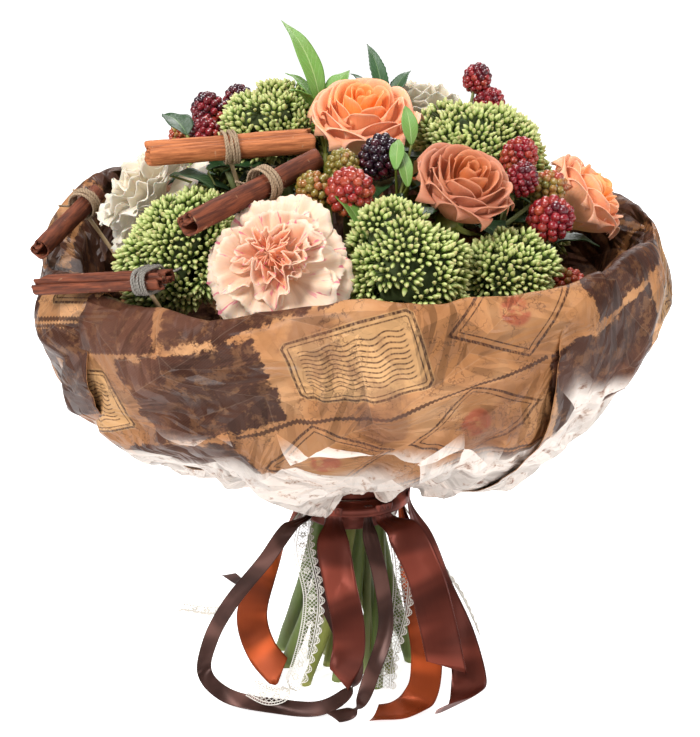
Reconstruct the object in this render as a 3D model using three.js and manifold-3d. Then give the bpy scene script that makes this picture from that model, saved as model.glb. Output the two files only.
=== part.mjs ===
// A hand-tied mixed bouquet in a folded paper collar, standing on its own cut stems.
// Millimetres, +Z up. The front faces -Y. The origin is the centre of the middle stem's cut end,
// on the surface that the bouquet stands on.
import * as THREE from "three";
import { mergeVertices } from "three/addons/utils/BufferGeometryUtils.js";
import Module from "manifold-3d";

const wasm = await Module();
wasm.setup();

// ---------------------------------------------------------------- driving dimensions
const DOME = { radius: 150, height: 106, base: 238 }; // the ellipsoid that the heads sit on
const HANDLE = {
  waist: 114, // height of the binding
  join: 230, // height at which the stems leave the bundle for their heads
  squeeze: 0.2, // bundle radius at the binding, as a share of that at the join
  foot: 0.5, // the same share at the cut ends
  twist: 100, // degrees that the spiral turns from the cut ends to the join
  reach: 0.78, // how far below a head its neck has straightened, as a share of the drop
};
// Heights at which the stems are placed, and how far each has left the bundle's packing for its head.
const SLICES = [[0, 0], [52, 0], [HANDLE.waist, 0], [158, 0.12], [194, 0.6], [HANDLE.join, 1], [276, 1]];
const STEM_GAP = 0.35; // clearance between stems pressed together
const STEM_SIDES = 5;
const SEAT_GAP = 0.35; // clearance between a bloom and its cup
const BLADE = 0.9; // thickness of petals and leaves in their middle
const PAPER = 1.0;
const RIBBON = 0.8;
const GATHER = 0.55; // a ribbon's width in its band, as a share of its free width
const BINDING = { inner: 24.2, outer: 25.1, low: 107, high: 117 };
const WRAP = { inner: 28.6, outer: 29.5, low: 98, high: 119 }; // satin wound over the paper's neck
const TIE = { thick: 1.0, low: 108, high: 117 }; // the band of each ribbon
const STEM_RADIUS = { rose: 3.2, carnation: 2.5, sedum: 4.5, berry: 2.4, leaf: 2.0, pick: 1.4 };

const COLOUR = {
  rose: 0xe59468,
  peachCarnation: 0xf2c9a8,
  creamCarnation: 0xeee4d2,
  stem: 0x5f7f34,
  sedum: 0xa3bf66,
  berry: 0x8a2a2e,
  leaf: 0x4c6f2c,
  cinnamon: 0x98522c,
  twine: 0xb89b74,
  pick: 0xc9a877,
  paper: 0xc59a67,
  satin: 0x6e3027,
  copper: 0xa04a26,
  taupe: 0x6a4a44,
  lace: 0xe9e2d6,
};

// Heads: x and y of the head's middle seen from above, its radius, and how far it stands off the dome.
const ROSES = [
  { name: "rose_top", x: 7, y: -16, radius: 31, lift: -3, roll: 20, nod: 20, core: true },
  { name: "rose_front", x: 59, y: -88, radius: 28, lift: 1, roll: 75 },
  { name: "rose_right", x: 129, y: -14, radius: 28, lift: 6, roll: 140 },
  { name: "rose_back", x: 58, y: 114, radius: 29, lift: 1, roll: 10 },
];
const CARNATIONS = [
  { name: "carnation_front", x: -38, y: -130, radius: 38, lift: -2, roll: 15, colour: "peachCarnation" },
  { name: "carnation_left", x: -117, y: -24, radius: 37, lift: -4, roll: 50, colour: "creamCarnation" },
  { name: "carnation_top", x: 42, y: 60, radius: 30, lift: 8, roll: 80, colour: "creamCarnation" },
];
// Sedum heads also spread by rule into the room that their neighbours leave, up to this radius.
const SEDUMS = [
  { name: "sedum_left", x: -100, y: -90, radius: 41, lift: -1, rings: 6 },
  { name: "sedum_top", x: -46, y: 17, radius: 44, lift: 4, rings: 6 },
  { name: "sedum_right", x: 82, y: 4, radius: 48, lift: 4, rings: 7 },
  { name: "sedum_front", x: 33, y: -128, radius: 42, lift: -2, rings: 6 },
  { name: "sedum_rim", x: 93, y: -106, radius: 34, lift: -3, rings: 5 },
  { name: "sedum_back_left", x: -74, y: 98, radius: 46, lift: 0, rings: 6 },
  { name: "sedum_back_right", x: 114, y: 68, radius: 42, lift: 0, rings: 6 },
  { name: "sedum_crown", x: 0, y: 92, radius: 44, lift: 3, rings: 6 },
];
// Berries of a spray: x, y, lift off the dome, and radius. Each hangs on its own short stalk.
const BERRY_SPRAYS = [
  { name: "berries_left", x: -82, y: 30, lift: -22,
    berries: [[-62, 62, 20, 9.5], [-78, 42, 16, 11], [-83, 12, 2, 10], [-96, 34, 10, 7]] },
  { name: "berries_middle", x: -2, y: -76, lift: -30,
    berries: [[17, -68, -5, 11.5], [0, -99, -5, 12.5], [-19.5, -92, -9, 10], [-4, -76, -7, 9]] },
  { name: "berries_right", x: 98, y: -60, lift: -26,
    berries: [[90, -40, 7, 10], [90, -62, 5, 9], [106, -50, 4, 10], [105, -74, 4, 12], [120, -84, -3, 9.5]] },
  { name: "berries_crown", x: 74, y: 54, lift: -12,
    berries: [[66, 46, 32, 8.5], [76, 44, 20, 9.5], [90, 44, 12, 9]] },
  { name: "berries_back", x: -20, y: 132, lift: -24,
    berries: [[-30, 130, 4, 10.5], [-8, 132, 5, 10], [-20, 142, -4, 9]] },
];
// Leaves of a spray: base as x, y and lift, heading and climb in degrees, length and width.
const LEAF_SPRAYS = [
  { name: "leaves_tall", x: -16, y: -1, lift: -24,
    leaves: [[-17, 6, 2, 128, 80, 60, 15], [-12, 5, 2, 60, 66, 30, 14], [-19, 5, 2, 150, 70, 28, 11],
      [-21, 1, 2, 222, 62, 21, 10]] },
  { name: "leaves_pointed", x: 20, y: 26, lift: -22,
    leaves: [[20, 28, 0, 110, 80, 46, 10], [23, 27, 0, 60, 66, 34, 10], [17, 27, 0, 130, 64, 32, 9]] },
  { name: "leaves_left", x: -86, y: -26, lift: -26,
    leaves: [[-93.5, -57.5, 7, 338, 14, 29, 18], [-90, -2, 8, 130, 50, 26, 18]] },
  { name: "leaves_middle", x: 30, y: -80, lift: -28,
    leaves: [[31, -92, -5, 100, 66, 28, 8], [33, -60, 0, 100, 76, 26, 9]] },
];
// Cinnamon: both ends of the bundle's middle line, the radius of a quill, and how many lie side by side.
const BUNDLES = [
  { name: "upper", from: [-110, -62, 328], to: [-20, -46, 333], quill: 6.2, count: 2, tie: 0.5 },
  { name: "lower", from: [-82, -134, 303.5], to: [-19, -66, 326], quill: 7.2, count: 1, tie: 0.6 },
  { name: "rim", from: [-174, -46, 272], to: [-149, 8, 295], quill: 6.4, count: 1, tie: 0.8 },
  { name: "side", from: [-163, -102, 265], to: [-92, -132, 275], quill: 4.6, count: 2, tie: 0.86 },
];
// Ribbons by the radius of their band. A strand leaves at a turn and follows rows of x, y, z and the
// turn and tilt of its width. One that has a "back" turn is a loop.
const RIBBONS = [
  { name: "ribbon_lace", colour: "lace", ring: 31.0, strands: [
    { width: 13, turn: -146, rows: [[-27, -42, 92, 0, 0], [-21, -57, 66, 0, 0], [-26, -68, 36, 0, 0],
      [-34, -78, 20, 30, 20], [-46, -80, 15, 90, 30], [-58, -74, 18, 90, 40]] },
    { width: 13, turn: -38, rows: [[32, -36, 78, 0, 0], [31, -45, 54, 0, 0], [23, -57, 28, 0, 0],
      [21, -62, 10, 0, 0]] },
    { width: 13, turn: 160, rows: [[-38, 20, 80, 70, 0], [-58, 34, 44, 60, 0], [-78, 50, 12, 60, 0],
      [-94, 62, 3, 90, 0], [-114, 66, 3, 90, 0]] },
    { width: 12, turn: 30, rows: [[44, 18, 82, 90, 0], [62, 16, 50, 90, 0], [76, 12, 28, 90, 0],
      [82, 9, 12, 90, 0]] },
  ] },
  { name: "ribbon_copper", colour: "copper", ring: 32.8, strands: [
    { width: 19, turn: 196, rows: [[-42, -16, 86, 60, 0], [-54, -22, 62, 30, 0], [-60, -24, 38, 10, 0],
      [-54, -28, 18, 5, 0], [-42, -34, 5, 10, 0]] },
    { width: 19, turn: -18, rows: [[37, -22, 78, 40, 0], [42, -34, 48, 20, 0], [46, -48, 22, 10, 0],
      [42, -62, 6, 15, 0], [30, -74, 2, -50, 0], [14, -78, 2, -75, 0]] },
  ] },
  { name: "ribbon_taupe", colour: "taupe", ring: 34.6, strands: [
    { width: 9, turn: -134, back: -112, rows: [[-36, -36, 102, 0, 0], [-50, -42, 84, 0, 0],
      [-72, -44, 56, 0, 0], [-84, -42, 32, 0, 0], [-88, -44, 12, 30, 20], [-74, -62, 6, 70, 45],
      [-44, -74, 5, 90, 45], [-16, -76, 5, 90, 45], [1, -68, 14, 60, 30], [3, -60, 28, 0, 0],
      [-8, -50, 46, 0, 0], [-17, -40, 70, 0, 0]] },
    { width: 9, turn: -72, rows: [[12, -40, 98, 0, 0], [18, -50, 76, 0, 0], [21, -60, 49, 0, 0],
      [13, -71, 25, 0, 0], [3, -82, 7, 50, 20], [-10, -86, 4, 90, 30]] },
    { width: 9, turn: 130, rows: [[-36, 38, 76, 45, 0], [-56, 66, 36, 40, 0], [-70, 90, 9, 30, 0],
      [-86, 122, 3, 20, 0]] },
  ] },
  { name: "ribbon_satin", colour: "satin", ring: 36.4, strands: [
    { width: 19, turn: -105, rows: [[-10, -46, 96, 0, 0], [-6, -57, 76, 0, 0], [-1, -66, 53, 0, 0],
      [-1, -71, 38, 0, 0], [-6, -76, 23, 40, 0]] },
    { width: 22, turn: -56, rows: [[31, -38, 101, 20, 0], [43, -47, 80, 10, 0], [51, -56, 52, 0, 0],
      [57, -64, 25, 0, 0]] },
    { width: 21, turn: -6, rows: [[44, -12, 88, 65, 0], [55, -22, 60, 50, 0], [67, -38, 30, 35, 0],
      [71, -58, 12, 15, 10], [65, -76, 9, -10, 30], [50, -88, 9, -45, 40]] },
  ] },
];
// The collar's section as radius and height: up the inside, over the soft fold and down the outside.
const COLLAR = [
  [27.7, 104], [27.7, 121], [40, 139], [84, 160], [124, 188], [150, 226], [165, 258],
  [176, 271], [184, 254], [180, 224], [162, 188], [122, 157], [56, 139],
];
const RIM_RISE = [10, 13, 17, 22, 30, 28, 0, -10, -12, -3, 0, 6]; // every 30 degrees from +X
// Both sheets share one fan of 12 degree folds; the front one lies over the back one's two ends.
const COLLAR_FRONT = { from: -150, columns: 9, nest: 1.4 };
const COLLAR_BACK = { from: -54, columns: 23, nest: 0 };
const COLLAR_FOLD = 12;

// ---------------------------------------------------------------- small tools
const rad = THREE.MathUtils.degToRad;
const vec = (x, y, z) => new THREE.Vector3(x, y, z);
const mix = THREE.MathUtils.lerp;
const polar = (radius, angle, z = 0) => vec(radius * Math.cos(angle), radius * Math.sin(angle), z);

/** Random numbers from 0 to 1 that are the same on every run. */
function seeded(seed) {
  let state = seed >>> 0;
  return () => {
    state = (state + 0x6d2b79f5) >>> 0;
    let t = Math.imul(state ^ (state >>> 15), 1 | state);
    t = (t + Math.imul(t ^ (t >>> 7), 61 | t)) ^ t;
    return ((t ^ (t >>> 14)) >>> 0) / 4294967296;
  };
}

/** Where a head sits on the dome, and the matrix that turns its own +Z outwards there, with a nod to -Y. */
function seat({ x, y, lift = 0, roll = 0, nod = 0 }) {
  const rise = Math.sqrt(1 - (x * x + y * y) / DOME.radius ** 2);
  const axis = vec(x / DOME.radius ** 2, y / DOME.radius ** 2, rise / DOME.height).normalize();
  const at = vec(x, y, DOME.base + DOME.height * rise).addScaledVector(axis, lift);
  axis.applyAxisAngle(vec(1, 0, 0), rad(nod));
  return { at, axis, matrix: standing(at, axis, roll) };
}

/** A matrix that carries the origin to a point and +Z to an axis, after a roll about +Z in degrees. */
function standing(at, axis, roll = 0) {
  const turn = new THREE.Quaternion().setFromUnitVectors(vec(0, 0, 1), axis);
  const spin = new THREE.Quaternion().setFromAxisAngle(vec(0, 0, 1), rad(roll));
  return new THREE.Matrix4().compose(at, turn.multiply(spin), vec(1, 1, 1));
}

/**
 * Skins a row of closed rings of points, all of one count, and closes both ends. Point j faces point
 * count - 1 - j, and facing quads are cut along facing diagonals, so that a thin sheet keeps its thickness.
 */
function skin(rings) {
  const count = rings[0].length;
  const index = [];
  for (let i = 0; i + 1 < rings.length; i++)
    for (let j = 0; j < count; j++) {
      const next = (j + 1) % count;
      const [a, b, c, d] = [i * count + j, i * count + next, (i + 1) * count + next, (i + 1) * count + j];
      if (j < count / 2) index.push(a, b, c, a, c, d);
      else index.push(a, b, d, b, c, d);
    }
  const last = (rings.length - 1) * count;
  for (let j = 0; j < Math.ceil(count / 2) - 1; j++) {
    const [a, b, c, d] = [j, j + 1, count - 2 - j, count - 1 - j];
    index.push(a, c, b, a, d, c, last + a, last + b, last + c, last + a, last + c, last + d);
  }
  return surface(rings.flat(), index);
}

/** A geometry from points and triangles. */
function surface(points, index) {
  const flat = new Float32Array(points.length * 3);
  points.forEach((p, i) => p.toArray(flat, i * 3));
  const geometry = new THREE.BufferGeometry();
  geometry.setAttribute("position", new THREE.BufferAttribute(flat, 3));
  geometry.setIndex(index);
  return geometry;
}

/** A closed geometry as a solid, without the triangles that merging has flattened. */
function solid(geometry) {
  const bare = geometry.clone();
  bare.deleteAttribute("normal");
  bare.deleteAttribute("uv");
  const merged = mergeVertices(bare, 1e-3);
  const from = merged.index.array;
  const kept = [];
  for (let i = 0; i < from.length; i += 3) {
    const [a, b, c] = [from[i], from[i + 1], from[i + 2]];
    if (a !== b && b !== c && c !== a) kept.push(a, b, c);
  }
  const made = new wasm.Manifold(new wasm.Mesh({
    numProp: 3,
    vertProperties: merged.attributes.position.array,
    triVerts: new Uint32Array(kept),
  }));
  if (made.volume() <= 0) throw new Error("a shape is inside out");
  return made;
}

/** Joins geometries into one solid, fills the hollows that this seals, and stops on a loose part. */
function fuse(geometries) {
  const joined = geometries.map(solid).reduce((sum, next) => sum.add(next));
  const parts = joined.decompose().sort((a, b) => b.volume() - a.volume());
  if (parts.length > 1 && parts[1].volume() > 0.5)
    throw new Error(`a loose part of ${parts[1].volume().toFixed(1)} mm3 among ${geometries.length}`);
  return parts[0];
}

/** A named mesh in a colour from a solid or a geometry. */
function piece(name, shape, colour, roughness = 0.6) {
  const body = shape.isBufferGeometry ? solid(shape) : shape;
  const { vertProperties, triVerts, numProp } = body.getMesh();
  const geometry = new THREE.BufferGeometry();
  const points = new Float32Array((vertProperties.length / numProp) * 3);
  for (let i = 0; i * numProp < vertProperties.length; i++)
    points.set(vertProperties.subarray(i * numProp, i * numProp + 3), i * 3);
  geometry.setAttribute("position", new THREE.BufferAttribute(points, 3));
  geometry.setIndex(new THREE.BufferAttribute(new Uint32Array(triVerts), 1));
  geometry.computeVertexNormals();
  const material = new THREE.MeshStandardMaterial({ color: COLOUR[colour], roughness, metalness: 0 });
  const mesh = new THREE.Mesh(geometry, material);
  mesh.name = name;
  return mesh;
}

/**
 * A thin curved blade over the sheet at(across, along), across from -1 to 1 and along from 0 to 1.
 * It is thickest inside and sharp at its sides and tip, and both faces are split alike.
 */
function blade(at, columns, rows, thickness = BLADE) {
  const rings = [];
  const step = 0.02;
  for (let i = 0; i <= rows; i++) {
    const under = [];
    const over = [];
    for (let j = 0; j <= columns; j++) {
      const u = (2 * j) / columns - 1;
      const v = i / rows;
      const across = at(Math.min(u + step, 1), v).sub(at(Math.max(u - step, -1), v));
      const along = at(u, Math.min(v + step, 1)).sub(at(u, Math.max(v - step, 0)));
      const inner = j > 0 && j < columns && i < rows;
      const offset = along.cross(across).normalize().multiplyScalar(inner ? thickness / 2 : 0);
      under.push(at(u, v).sub(offset));
      over.unshift(at(u, v).add(offset));
    }
    rings.push([...under, ...over]);
  }
  return skin(rings);
}

/** A round rod through points with a radius at each, its first and last rings lying flat if asked. */
function rod(points, radii, { sides = STEM_SIDES, flatStart = false } = {}) {
  const rings = points.map((point, i) => {
    const ahead = points[Math.min(i + 1, points.length - 1)];
    const behind = points[Math.max(i - 1, 0)];
    const heading = ahead.clone().sub(behind).normalize();
    if (flatStart && i === 0) heading.set(0, 0, 1);
    const matrix = standing(point, heading);
    return Array.from({ length: sides }, (_, j) =>
      polar(radii[i], (2 * Math.PI * j) / sides).applyMatrix4(matrix));
  });
  return skin(rings);
}

// ---------------------------------------------------------------- the sheaf of stems
/** Size and turn of the bundle at a height, as one complex number, so that stems never cross. */
function bundleAt(z) {
  const { waist, join, squeeze, foot, twist } = HANDLE;
  const share = z > waist ? (z - waist) / (join - waist) : (waist - z) / waist;
  const full = z > waist ? 1 : foot;
  const size = Math.sqrt(squeeze ** 2 + (full ** 2 - squeeze ** 2) * share ** 2);
  const turn = rad(twist) * ((z - join) / join);
  return { x: size * Math.cos(turn), y: size * Math.sin(turn) };
}

/** The place of every stem in the binding: near its head's side of the bundle, pressed to its neighbours. */
function packed(stems, starts) {
  const { squeeze } = HANDLE;
  const places = starts.map((start) =>
    start.clone().multiplyScalar(squeeze / (1 + (start.length() / 90) ** 4) ** 0.25));
  const rounds = 600;
  for (let round = 0; round < rounds; round++) {
    const pull = round < rounds * 0.75 ? 0.015 : 0;
    places.forEach((place, i) => {
      if (!stems[i].core) place.multiplyScalar(1 - pull);
      for (let j = i + 1; j < stems.length; j++) spread(stems[i], stems[j], place, places[j]);
    });
  }
  return places.map((place) => place.divideScalar(squeeze));
}

/** Finds the path of every stem from its cut end to its head. */
function sheaf(stems) {
  const starts = stems.map(({ base, axis, core }) => {
    const slope = ((base.z - HANDLE.join) * HANDLE.reach) / axis.z;
    return core ? vec(0, 0, 0) : vec(base.x - axis.x * slope, base.y - axis.y * slope, 0);
  });
  const places = packed(stems, starts);
  const paths = stems.map(({ base }, i) => SLICES.filter(([z]) => z < base.z - 14).map(([z, leave]) => {
    if (z > HANDLE.join) {
      const share = (z - HANDLE.join) / (base.z - HANDLE.join);
      return starts[i].clone().lerp(base, share).setZ(z);
    }
    const m = bundleAt(z);
    const { x, y } = places[i].clone().lerp(starts[i], leave);
    return vec(m.x * x - m.y * y, m.x * y + m.y * x, z);
  }));
  for (let round = 0; round < 200; round++)
    SLICES.forEach((_, k) => stems.forEach((a, i) => {
      for (let j = i + 1; j < stems.length; j++)
        if (paths[i][k] && paths[j][k]) spread(a, stems[j], paths[i][k], paths[j][k]);
    }));
  return stems.map((stem, i) => [...paths[i], stem.base]);
}

/** Moves two stems' points apart in their plane where they would touch. A core stem stays put. */
function spread(a, b, p, q) {
  const apart = q.clone().sub(p).setZ(0);
  const far = apart.length();
  const need = (a.radius + b.radius) * 1.03 + STEM_GAP;
  if (far >= need) return;
  const push = apart.multiplyScalar((need - far) / Math.max(far, 1e-6));
  const share = a.core ? 0 : b.core ? 1 : 0.5;
  p.addScaledVector(push, -share);
  q.addScaledVector(push, 1 - share);
}

/** The rod of a stem, slightly thinner towards its head. */
function stemRod(path, radius) {
  const radii = path.map((_, i) => radius * (i === path.length - 1 ? 0.8 : 1));
  return rod(path, radii, { flatStart: true });
}

// ---------------------------------------------------------------- rose
/** One rose petal round the bloom's axis, cupped, with its rim rolled out by curl. */
function rosePetal(R, { turn, low, wide, high, flare, spread: halfTurn, columns, rows }) {
  return blade((u, v) => {
    const swell = Math.sin(Math.min(v * 1.25, 1) * (Math.PI / 2));
    const lip = Math.max(0, v - 0.72) / 0.28;
    const radius = R * (mix(low, wide, swell) + flare * lip ** 1.5) * (1 + 0.07 * u);
    const narrow = 0.35 + 0.65 * Math.sin(Math.min(1, v * 1.35) * (Math.PI / 2));
    const angle = turn + u * halfTurn * narrow * (1 - 0.18 * lip);
    const z = R * (mix(-0.55, high, v) - 0.2 * lip * u * u - 0.12 * flare * lip);
    return polar(radius, angle, z);
  }, columns, rows);
}

/** A rose: a heart that swells below into the petals' roots, and three whorls that overlap like tiles. */
function rose({ radius: R }) {
  const heart = rod([-0.78, -0.5, -0.12, 0.42].map((z) => vec(0, 0, z * R)),
    [0.2 * R, 0.44 * R, 0.4 * R, 0.12 * R], { sides: 7 });
  const whorls = [
    { count: 3, low: 0.2, wide: 0.4, high: 0.56, flare: 0.0, spread: rad(64), columns: 2, rows: 2 },
    { count: 5, low: 0.3, wide: 0.62, high: 0.5, flare: 0.08, spread: rad(46), columns: 2, rows: 2 },
    { count: 5, low: 0.32, wide: 0.86, high: 0.34, flare: 0.14, spread: rad(46), columns: 3, rows: 2 },
  ];
  const petals = whorls.flatMap((whorl, w) =>
    Array.from({ length: whorl.count }, (_, i) =>
      rosePetal(R, { ...whorl, turn: (2 * Math.PI * (i + 0.37 * w)) / whorl.count })));
  return [heart, ...petals];
}

// ---------------------------------------------------------------- carnation
/** One carnation petal: a fan that climbs out of the calyx, ruffled and toothed at its edge. */
function carnationPetal(R, { turn, reach, climb, ruffle, spread: halfTurn, columns, rows = 2 }, noise) {
  const phase = noise() * 6.28;
  return blade((u, v) => {
    const rise = rad(climb);
    const out = R * reach * v ** 1.15;
    const tooth = v > 0.99 ? 0.98 + 0.04 * Math.cos(u * Math.PI * 2) - 0.06 * u * u : 1;
    const wave = ruffle * R * v * v * Math.sin(u * 4.4 + phase);
    const radius = 0.05 * R + out * Math.cos(rise) * tooth - wave * Math.sin(rise);
    const angle = turn + (u * halfTurn * (0.35 + 0.65 * v));
    const z = R * (-0.42 + 0.34 * Math.sin(Math.min(v * 2, 1) * 1.57)) + out * Math.sin(rise) * tooth
      + wave * Math.cos(rise);
    return polar(Math.max(radius, 0.5), angle, z);
  }, columns, rows);
}

/** A carnation: a short core and four rings of ruffled petals, the outer ones nearly flat. */
function carnation({ radius: R }, seed) {
  const noise = seeded(seed);
  const core = rod([vec(0, 0, -0.5 * R), vec(0, 0, -0.18 * R), vec(0, 0, 0.3 * R)],
    [0.14 * R, 0.42 * R, 0.16 * R], { sides: 7 });
  const rings = [
    { count: 6, reach: 0.97, climb: 0, ruffle: 0.08, spread: rad(34), columns: 3 },
    { count: 5, reach: 0.86, climb: 22, ruffle: 0.1, spread: rad(38), columns: 3 },
    { count: 4, reach: 0.74, climb: 44, ruffle: 0.1, spread: rad(46), columns: 3 },
    { count: 3, reach: 0.6, climb: 66, ruffle: 0.08, spread: rad(54), columns: 2 },
  ];
  const petals = rings.flatMap((ring, w) =>
    Array.from({ length: ring.count }, (_, i) => carnationPetal(R, {
      ...ring, turn: (2 * Math.PI * (i + 0.5 * w + 0.2 * noise())) / ring.count }, noise)));
  return [core, ...petals];
}

/** The green cup under a bloom, just clear of it, with pointed sepals round its rim. */
function calyx(head, { top, cup, depth, sepals }) {
  const R = head.radius;
  const rim = -top * R - SEAT_GAP;
  const body = rod([vec(0, 0, rim - depth * R), vec(0, 0, rim - depth * R * 0.5), vec(0, 0, rim)],
    [cup * 0.5 * R, cup * R, cup * 0.9 * R], { sides: 6 });
  const fins = Array.from({ length: sepals }, (_, i) => blade((u, v) => {
    const angle = (2 * Math.PI * i) / sepals + u * 0.5 * (1 - v);
    return polar((cup * 0.5 + v * 0.62) * R, angle, rim - (0.11 + 0.1 * Math.sin(v * 2.6)) * R);
  }, 2, 1));
  return [body, ...fins].map((part) => part.applyMatrix4(seat(head).matrix));
}

// ---------------------------------------------------------------- sedum
/** How far a head may spread in each of 36 directions before it meets an obstacle, a head or the paper. */
function roomAround(head, obstacles) {
  const { matrix, at } = seat(head);
  const R = head.radius;
  const rivals = SEDUMS.filter((other) => other !== head)
    .map((other) => ({ at: seat(other).at, R: other.radius }));
  const foot = vec(0, 0, -0.45 * R).applyMatrix4(matrix);
  const free = (p) => obstacles.every((o) => o.at.distanceTo(p) > o.radius + 1.2)
    && rivals.every((o) => (p.distanceTo(o.at) * R - p.distanceTo(at) * o.R) / (R + o.R) > 0.8)
    && Math.hypot(p.x, p.y / 0.955) < collarInside(p.z) - 5;
  const limits = Array.from({ length: 36 }, (_, k) => {
    let reach = R;
    for (; reach > 0.16 * R; reach -= 0.75) {
      const rim = polar(reach, rad(k * 10), sedumRise(R, 1)).applyMatrix4(matrix);
      const shoulder = polar(reach * 0.8, rad(k * 10), sedumRise(R, 0.8) + 3).applyMatrix4(matrix);
      const checks = [shoulder, ...[0, 0.25, 0.5, 0.7].map((share) => rim.clone().lerp(foot, share))];
      if (checks.every(free)) break;
    }
    return reach;
  });
  const even = (list) => list.map((x, k) =>
    Math.min(x, (list[(k + 35) % 36] + 2 * x + list[(k + 1) % 36]) / 4));
  return even(even(limits));
}

/** The height of a sedum's dome at a share of the way from its middle to its rim. */
function sedumRise(R, share) {
  return R * (0.32 - 0.5 * share ** 2.2);
}

/** A head whose buds rise as points from a hexagonal net, closed below to the stem. */
function sedumHead({ radius: R, rings }, room) {
  const reach = (angle) => {
    const place = (((angle / (2 * Math.PI)) * 36) % 36 + 36) % 36;
    const k = Math.floor(place);
    return mix(room[k], room[(k + 1) % 36], place - k);
  };
  const points = [];
  const net = new Map();
  for (let i = -rings; i <= rings; i++)
    for (let j = -rings; j <= rings; j++) {
      const ring = Math.max(Math.abs(i), Math.abs(j), Math.abs(i + j));
      if (ring > rings) continue;
      const bud = (((i - j) % 3) + 3) % 3 === 0 && ring < rings;
      const share = ring / rings;
      const angle = Math.atan2((j * Math.sqrt(3)) / 2, i + j / 2);
      const lift = (bud ? 3.2 : -1.4) + 1.2 * Math.sin(5 * angle + 9 * share);
      const lean = share * 0.9;
      net.set(`${i},${j}`, points.length);
      const out = 0.95 * reach(angle) * share + (ring < rings ? lift * Math.sin(lean) : 0);
      points.push(polar(out, angle, sedumRise(R, share) + lift * Math.cos(lean)));
    }
  const index = [];
  const has = (i, j) => net.get(`${i},${j}`);
  for (let i = -rings - 1; i <= rings; i++)
    for (let j = -rings - 1; j <= rings; j++) {
      const [a, b, c, d] = [has(i, j), has(i + 1, j), has(i, j + 1), has(i + 1, j + 1)];
      if (a !== undefined && b !== undefined && c !== undefined) index.push(a, b, c);
      if (b !== undefined && c !== undefined && d !== undefined) index.push(b, d, c);
    }
  const edge = [...net].filter(([key]) => {
    const [i, j] = key.split(",").map(Number);
    return Math.max(Math.abs(i), Math.abs(j), Math.abs(i + j)) === rings;
  }).map(([, at]) => at).sort((a, b) =>
    Math.atan2(points[a].y, points[a].x) - Math.atan2(points[b].y, points[b].x));
  const foot = points.push(vec(0, 0, -0.45 * R)) - 1;
  edge.forEach((at, k) => index.push(at, foot, edge[(k + 1) % edge.length]));
  return surface(points, index);
}

// ---------------------------------------------------------------- blackberry
/** A berry of drupelets, each a low pyramid in a spiral grid. */
function berry(R) {
  const [rows, columns] = [R > 11.2 ? 5 : 4, 6];
  const valley = (i, j) => {
    const fall = mix(0.16, 0.93, i / rows) * Math.PI;
    return berryPoint(R * 0.88, fall, (j + i * 0.5) / columns);
  };
  const points = [];
  const index = [];
  for (let i = 0; i <= rows; i++)
    for (let j = 0; j < columns; j++) points.push(valley(i, j));
  for (let i = 0; i < rows; i++)
    for (let j = 0; j < columns; j++) {
      const next = (j + 1) % columns;
      const [low, high] = [i * columns, (i + 1) * columns];
      const [a, b, c, d] = [low + j, low + next, high + next, high + j];
      const top = points.push(berryPoint(R * 1.02, mix(0.16, 0.93, (i + 0.5) / rows) * Math.PI,
        (j + i * 0.5 + 0.75) / columns)) - 1;
      index.push(b, a, top, c, b, top, d, c, top, a, d, top);
    }
  const tip = points.push(berryPoint(R * 1.02, 0, 0)) - 1;
  const foot = points.push(berryPoint(R * 0.9, Math.PI, 0)) - 1;
  for (let j = 0; j < columns; j++) {
    const next = (j + 1) % columns;
    index.push(tip, j, next, foot, rows * columns + next, rows * columns + j);
  }
  return surface(points, index);
}

/** A point of a berry's egg shape, whose cap end is at the origin and whose tip is up the Z axis. */
function berryPoint(R, fall, turn) {
  const waist = R * Math.sin(fall) * (1 - 0.1 * Math.cos(fall));
  return polar(waist, turn * 2 * Math.PI, R * 1.12 * (1 + Math.cos(fall)));
}

/** Where each berry of a spray hangs: the spray's hub, the berry's cap end and its lean. */
function berryPlaces(spray) {
  const hub = seat(spray).at;
  return spray.berries.map(([x, y, lift, R]) => {
    const end = seat({ x, y, lift });
    const lean = end.axis.clone().lerp(end.at.clone().sub(hub).normalize(), 0.4).normalize();
    const foot = end.at.clone().addScaledVector(lean, -1.12 * R);
    const bend = hub.clone().lerp(foot, 0.55).addScaledVector(lean, -0.12 * hub.distanceTo(foot));
    return { hub, bend, foot, lean, middle: end.at, R, roll: x * 7 };
  });
}

/** The stalks that fan out from a spray's stem, and a berry on the end of each. */
function berrySpray(spray) {
  return berryPlaces(spray).flatMap(({ hub, bend, foot, lean, R, roll }) => [
    rod([hub, bend, foot.clone().addScaledVector(lean, 0.35 * R)], [1.5, 1.3, 1.3], { sides: 3 }),
    berry(R).applyMatrix4(standing(foot, lean, roll)),
  ]);
}

// ---------------------------------------------------------------- leaves
/** A leaf on its stalk from a hub to its base, then on along a heading and climb, folded and drooping. */
function leaf(hub, [x, y, lift, heading, climb, length, width]) {
  const { at: base } = seat({ x, y, lift });
  const out = polar(1, rad(heading));
  const side = polar(1, rad(heading + 90));
  const stalk = 0.3; // the share of the blade's rows that is stalk
  return blade((u, v) => {
    const w = (v - stalk) / (1 - stalk);
    if (w < 0) return hub.clone().lerp(base, v / stalk).addScaledVector(side, 0.9 * u);
    const half = (width / 2) * Math.sin(Math.PI * (0.1 + 0.9 * w) ** 0.8);
    const pitch = rad(climb) - 0.5 * w;
    return base.clone()
      .addScaledVector(out, length * w * Math.cos(pitch))
      .addScaledVector(vec(0, 0, 1), length * w * Math.sin(pitch) + 0.25 * half * u * u)
      .addScaledVector(side, half * u);
  }, 2, 5);
}

/** The leaves of a spray, from the end of its stem. */
function leafSpray(spray) {
  const hub = seat(spray).at;
  return spray.leaves.map((row) => leaf(hub, row));
}

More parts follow.
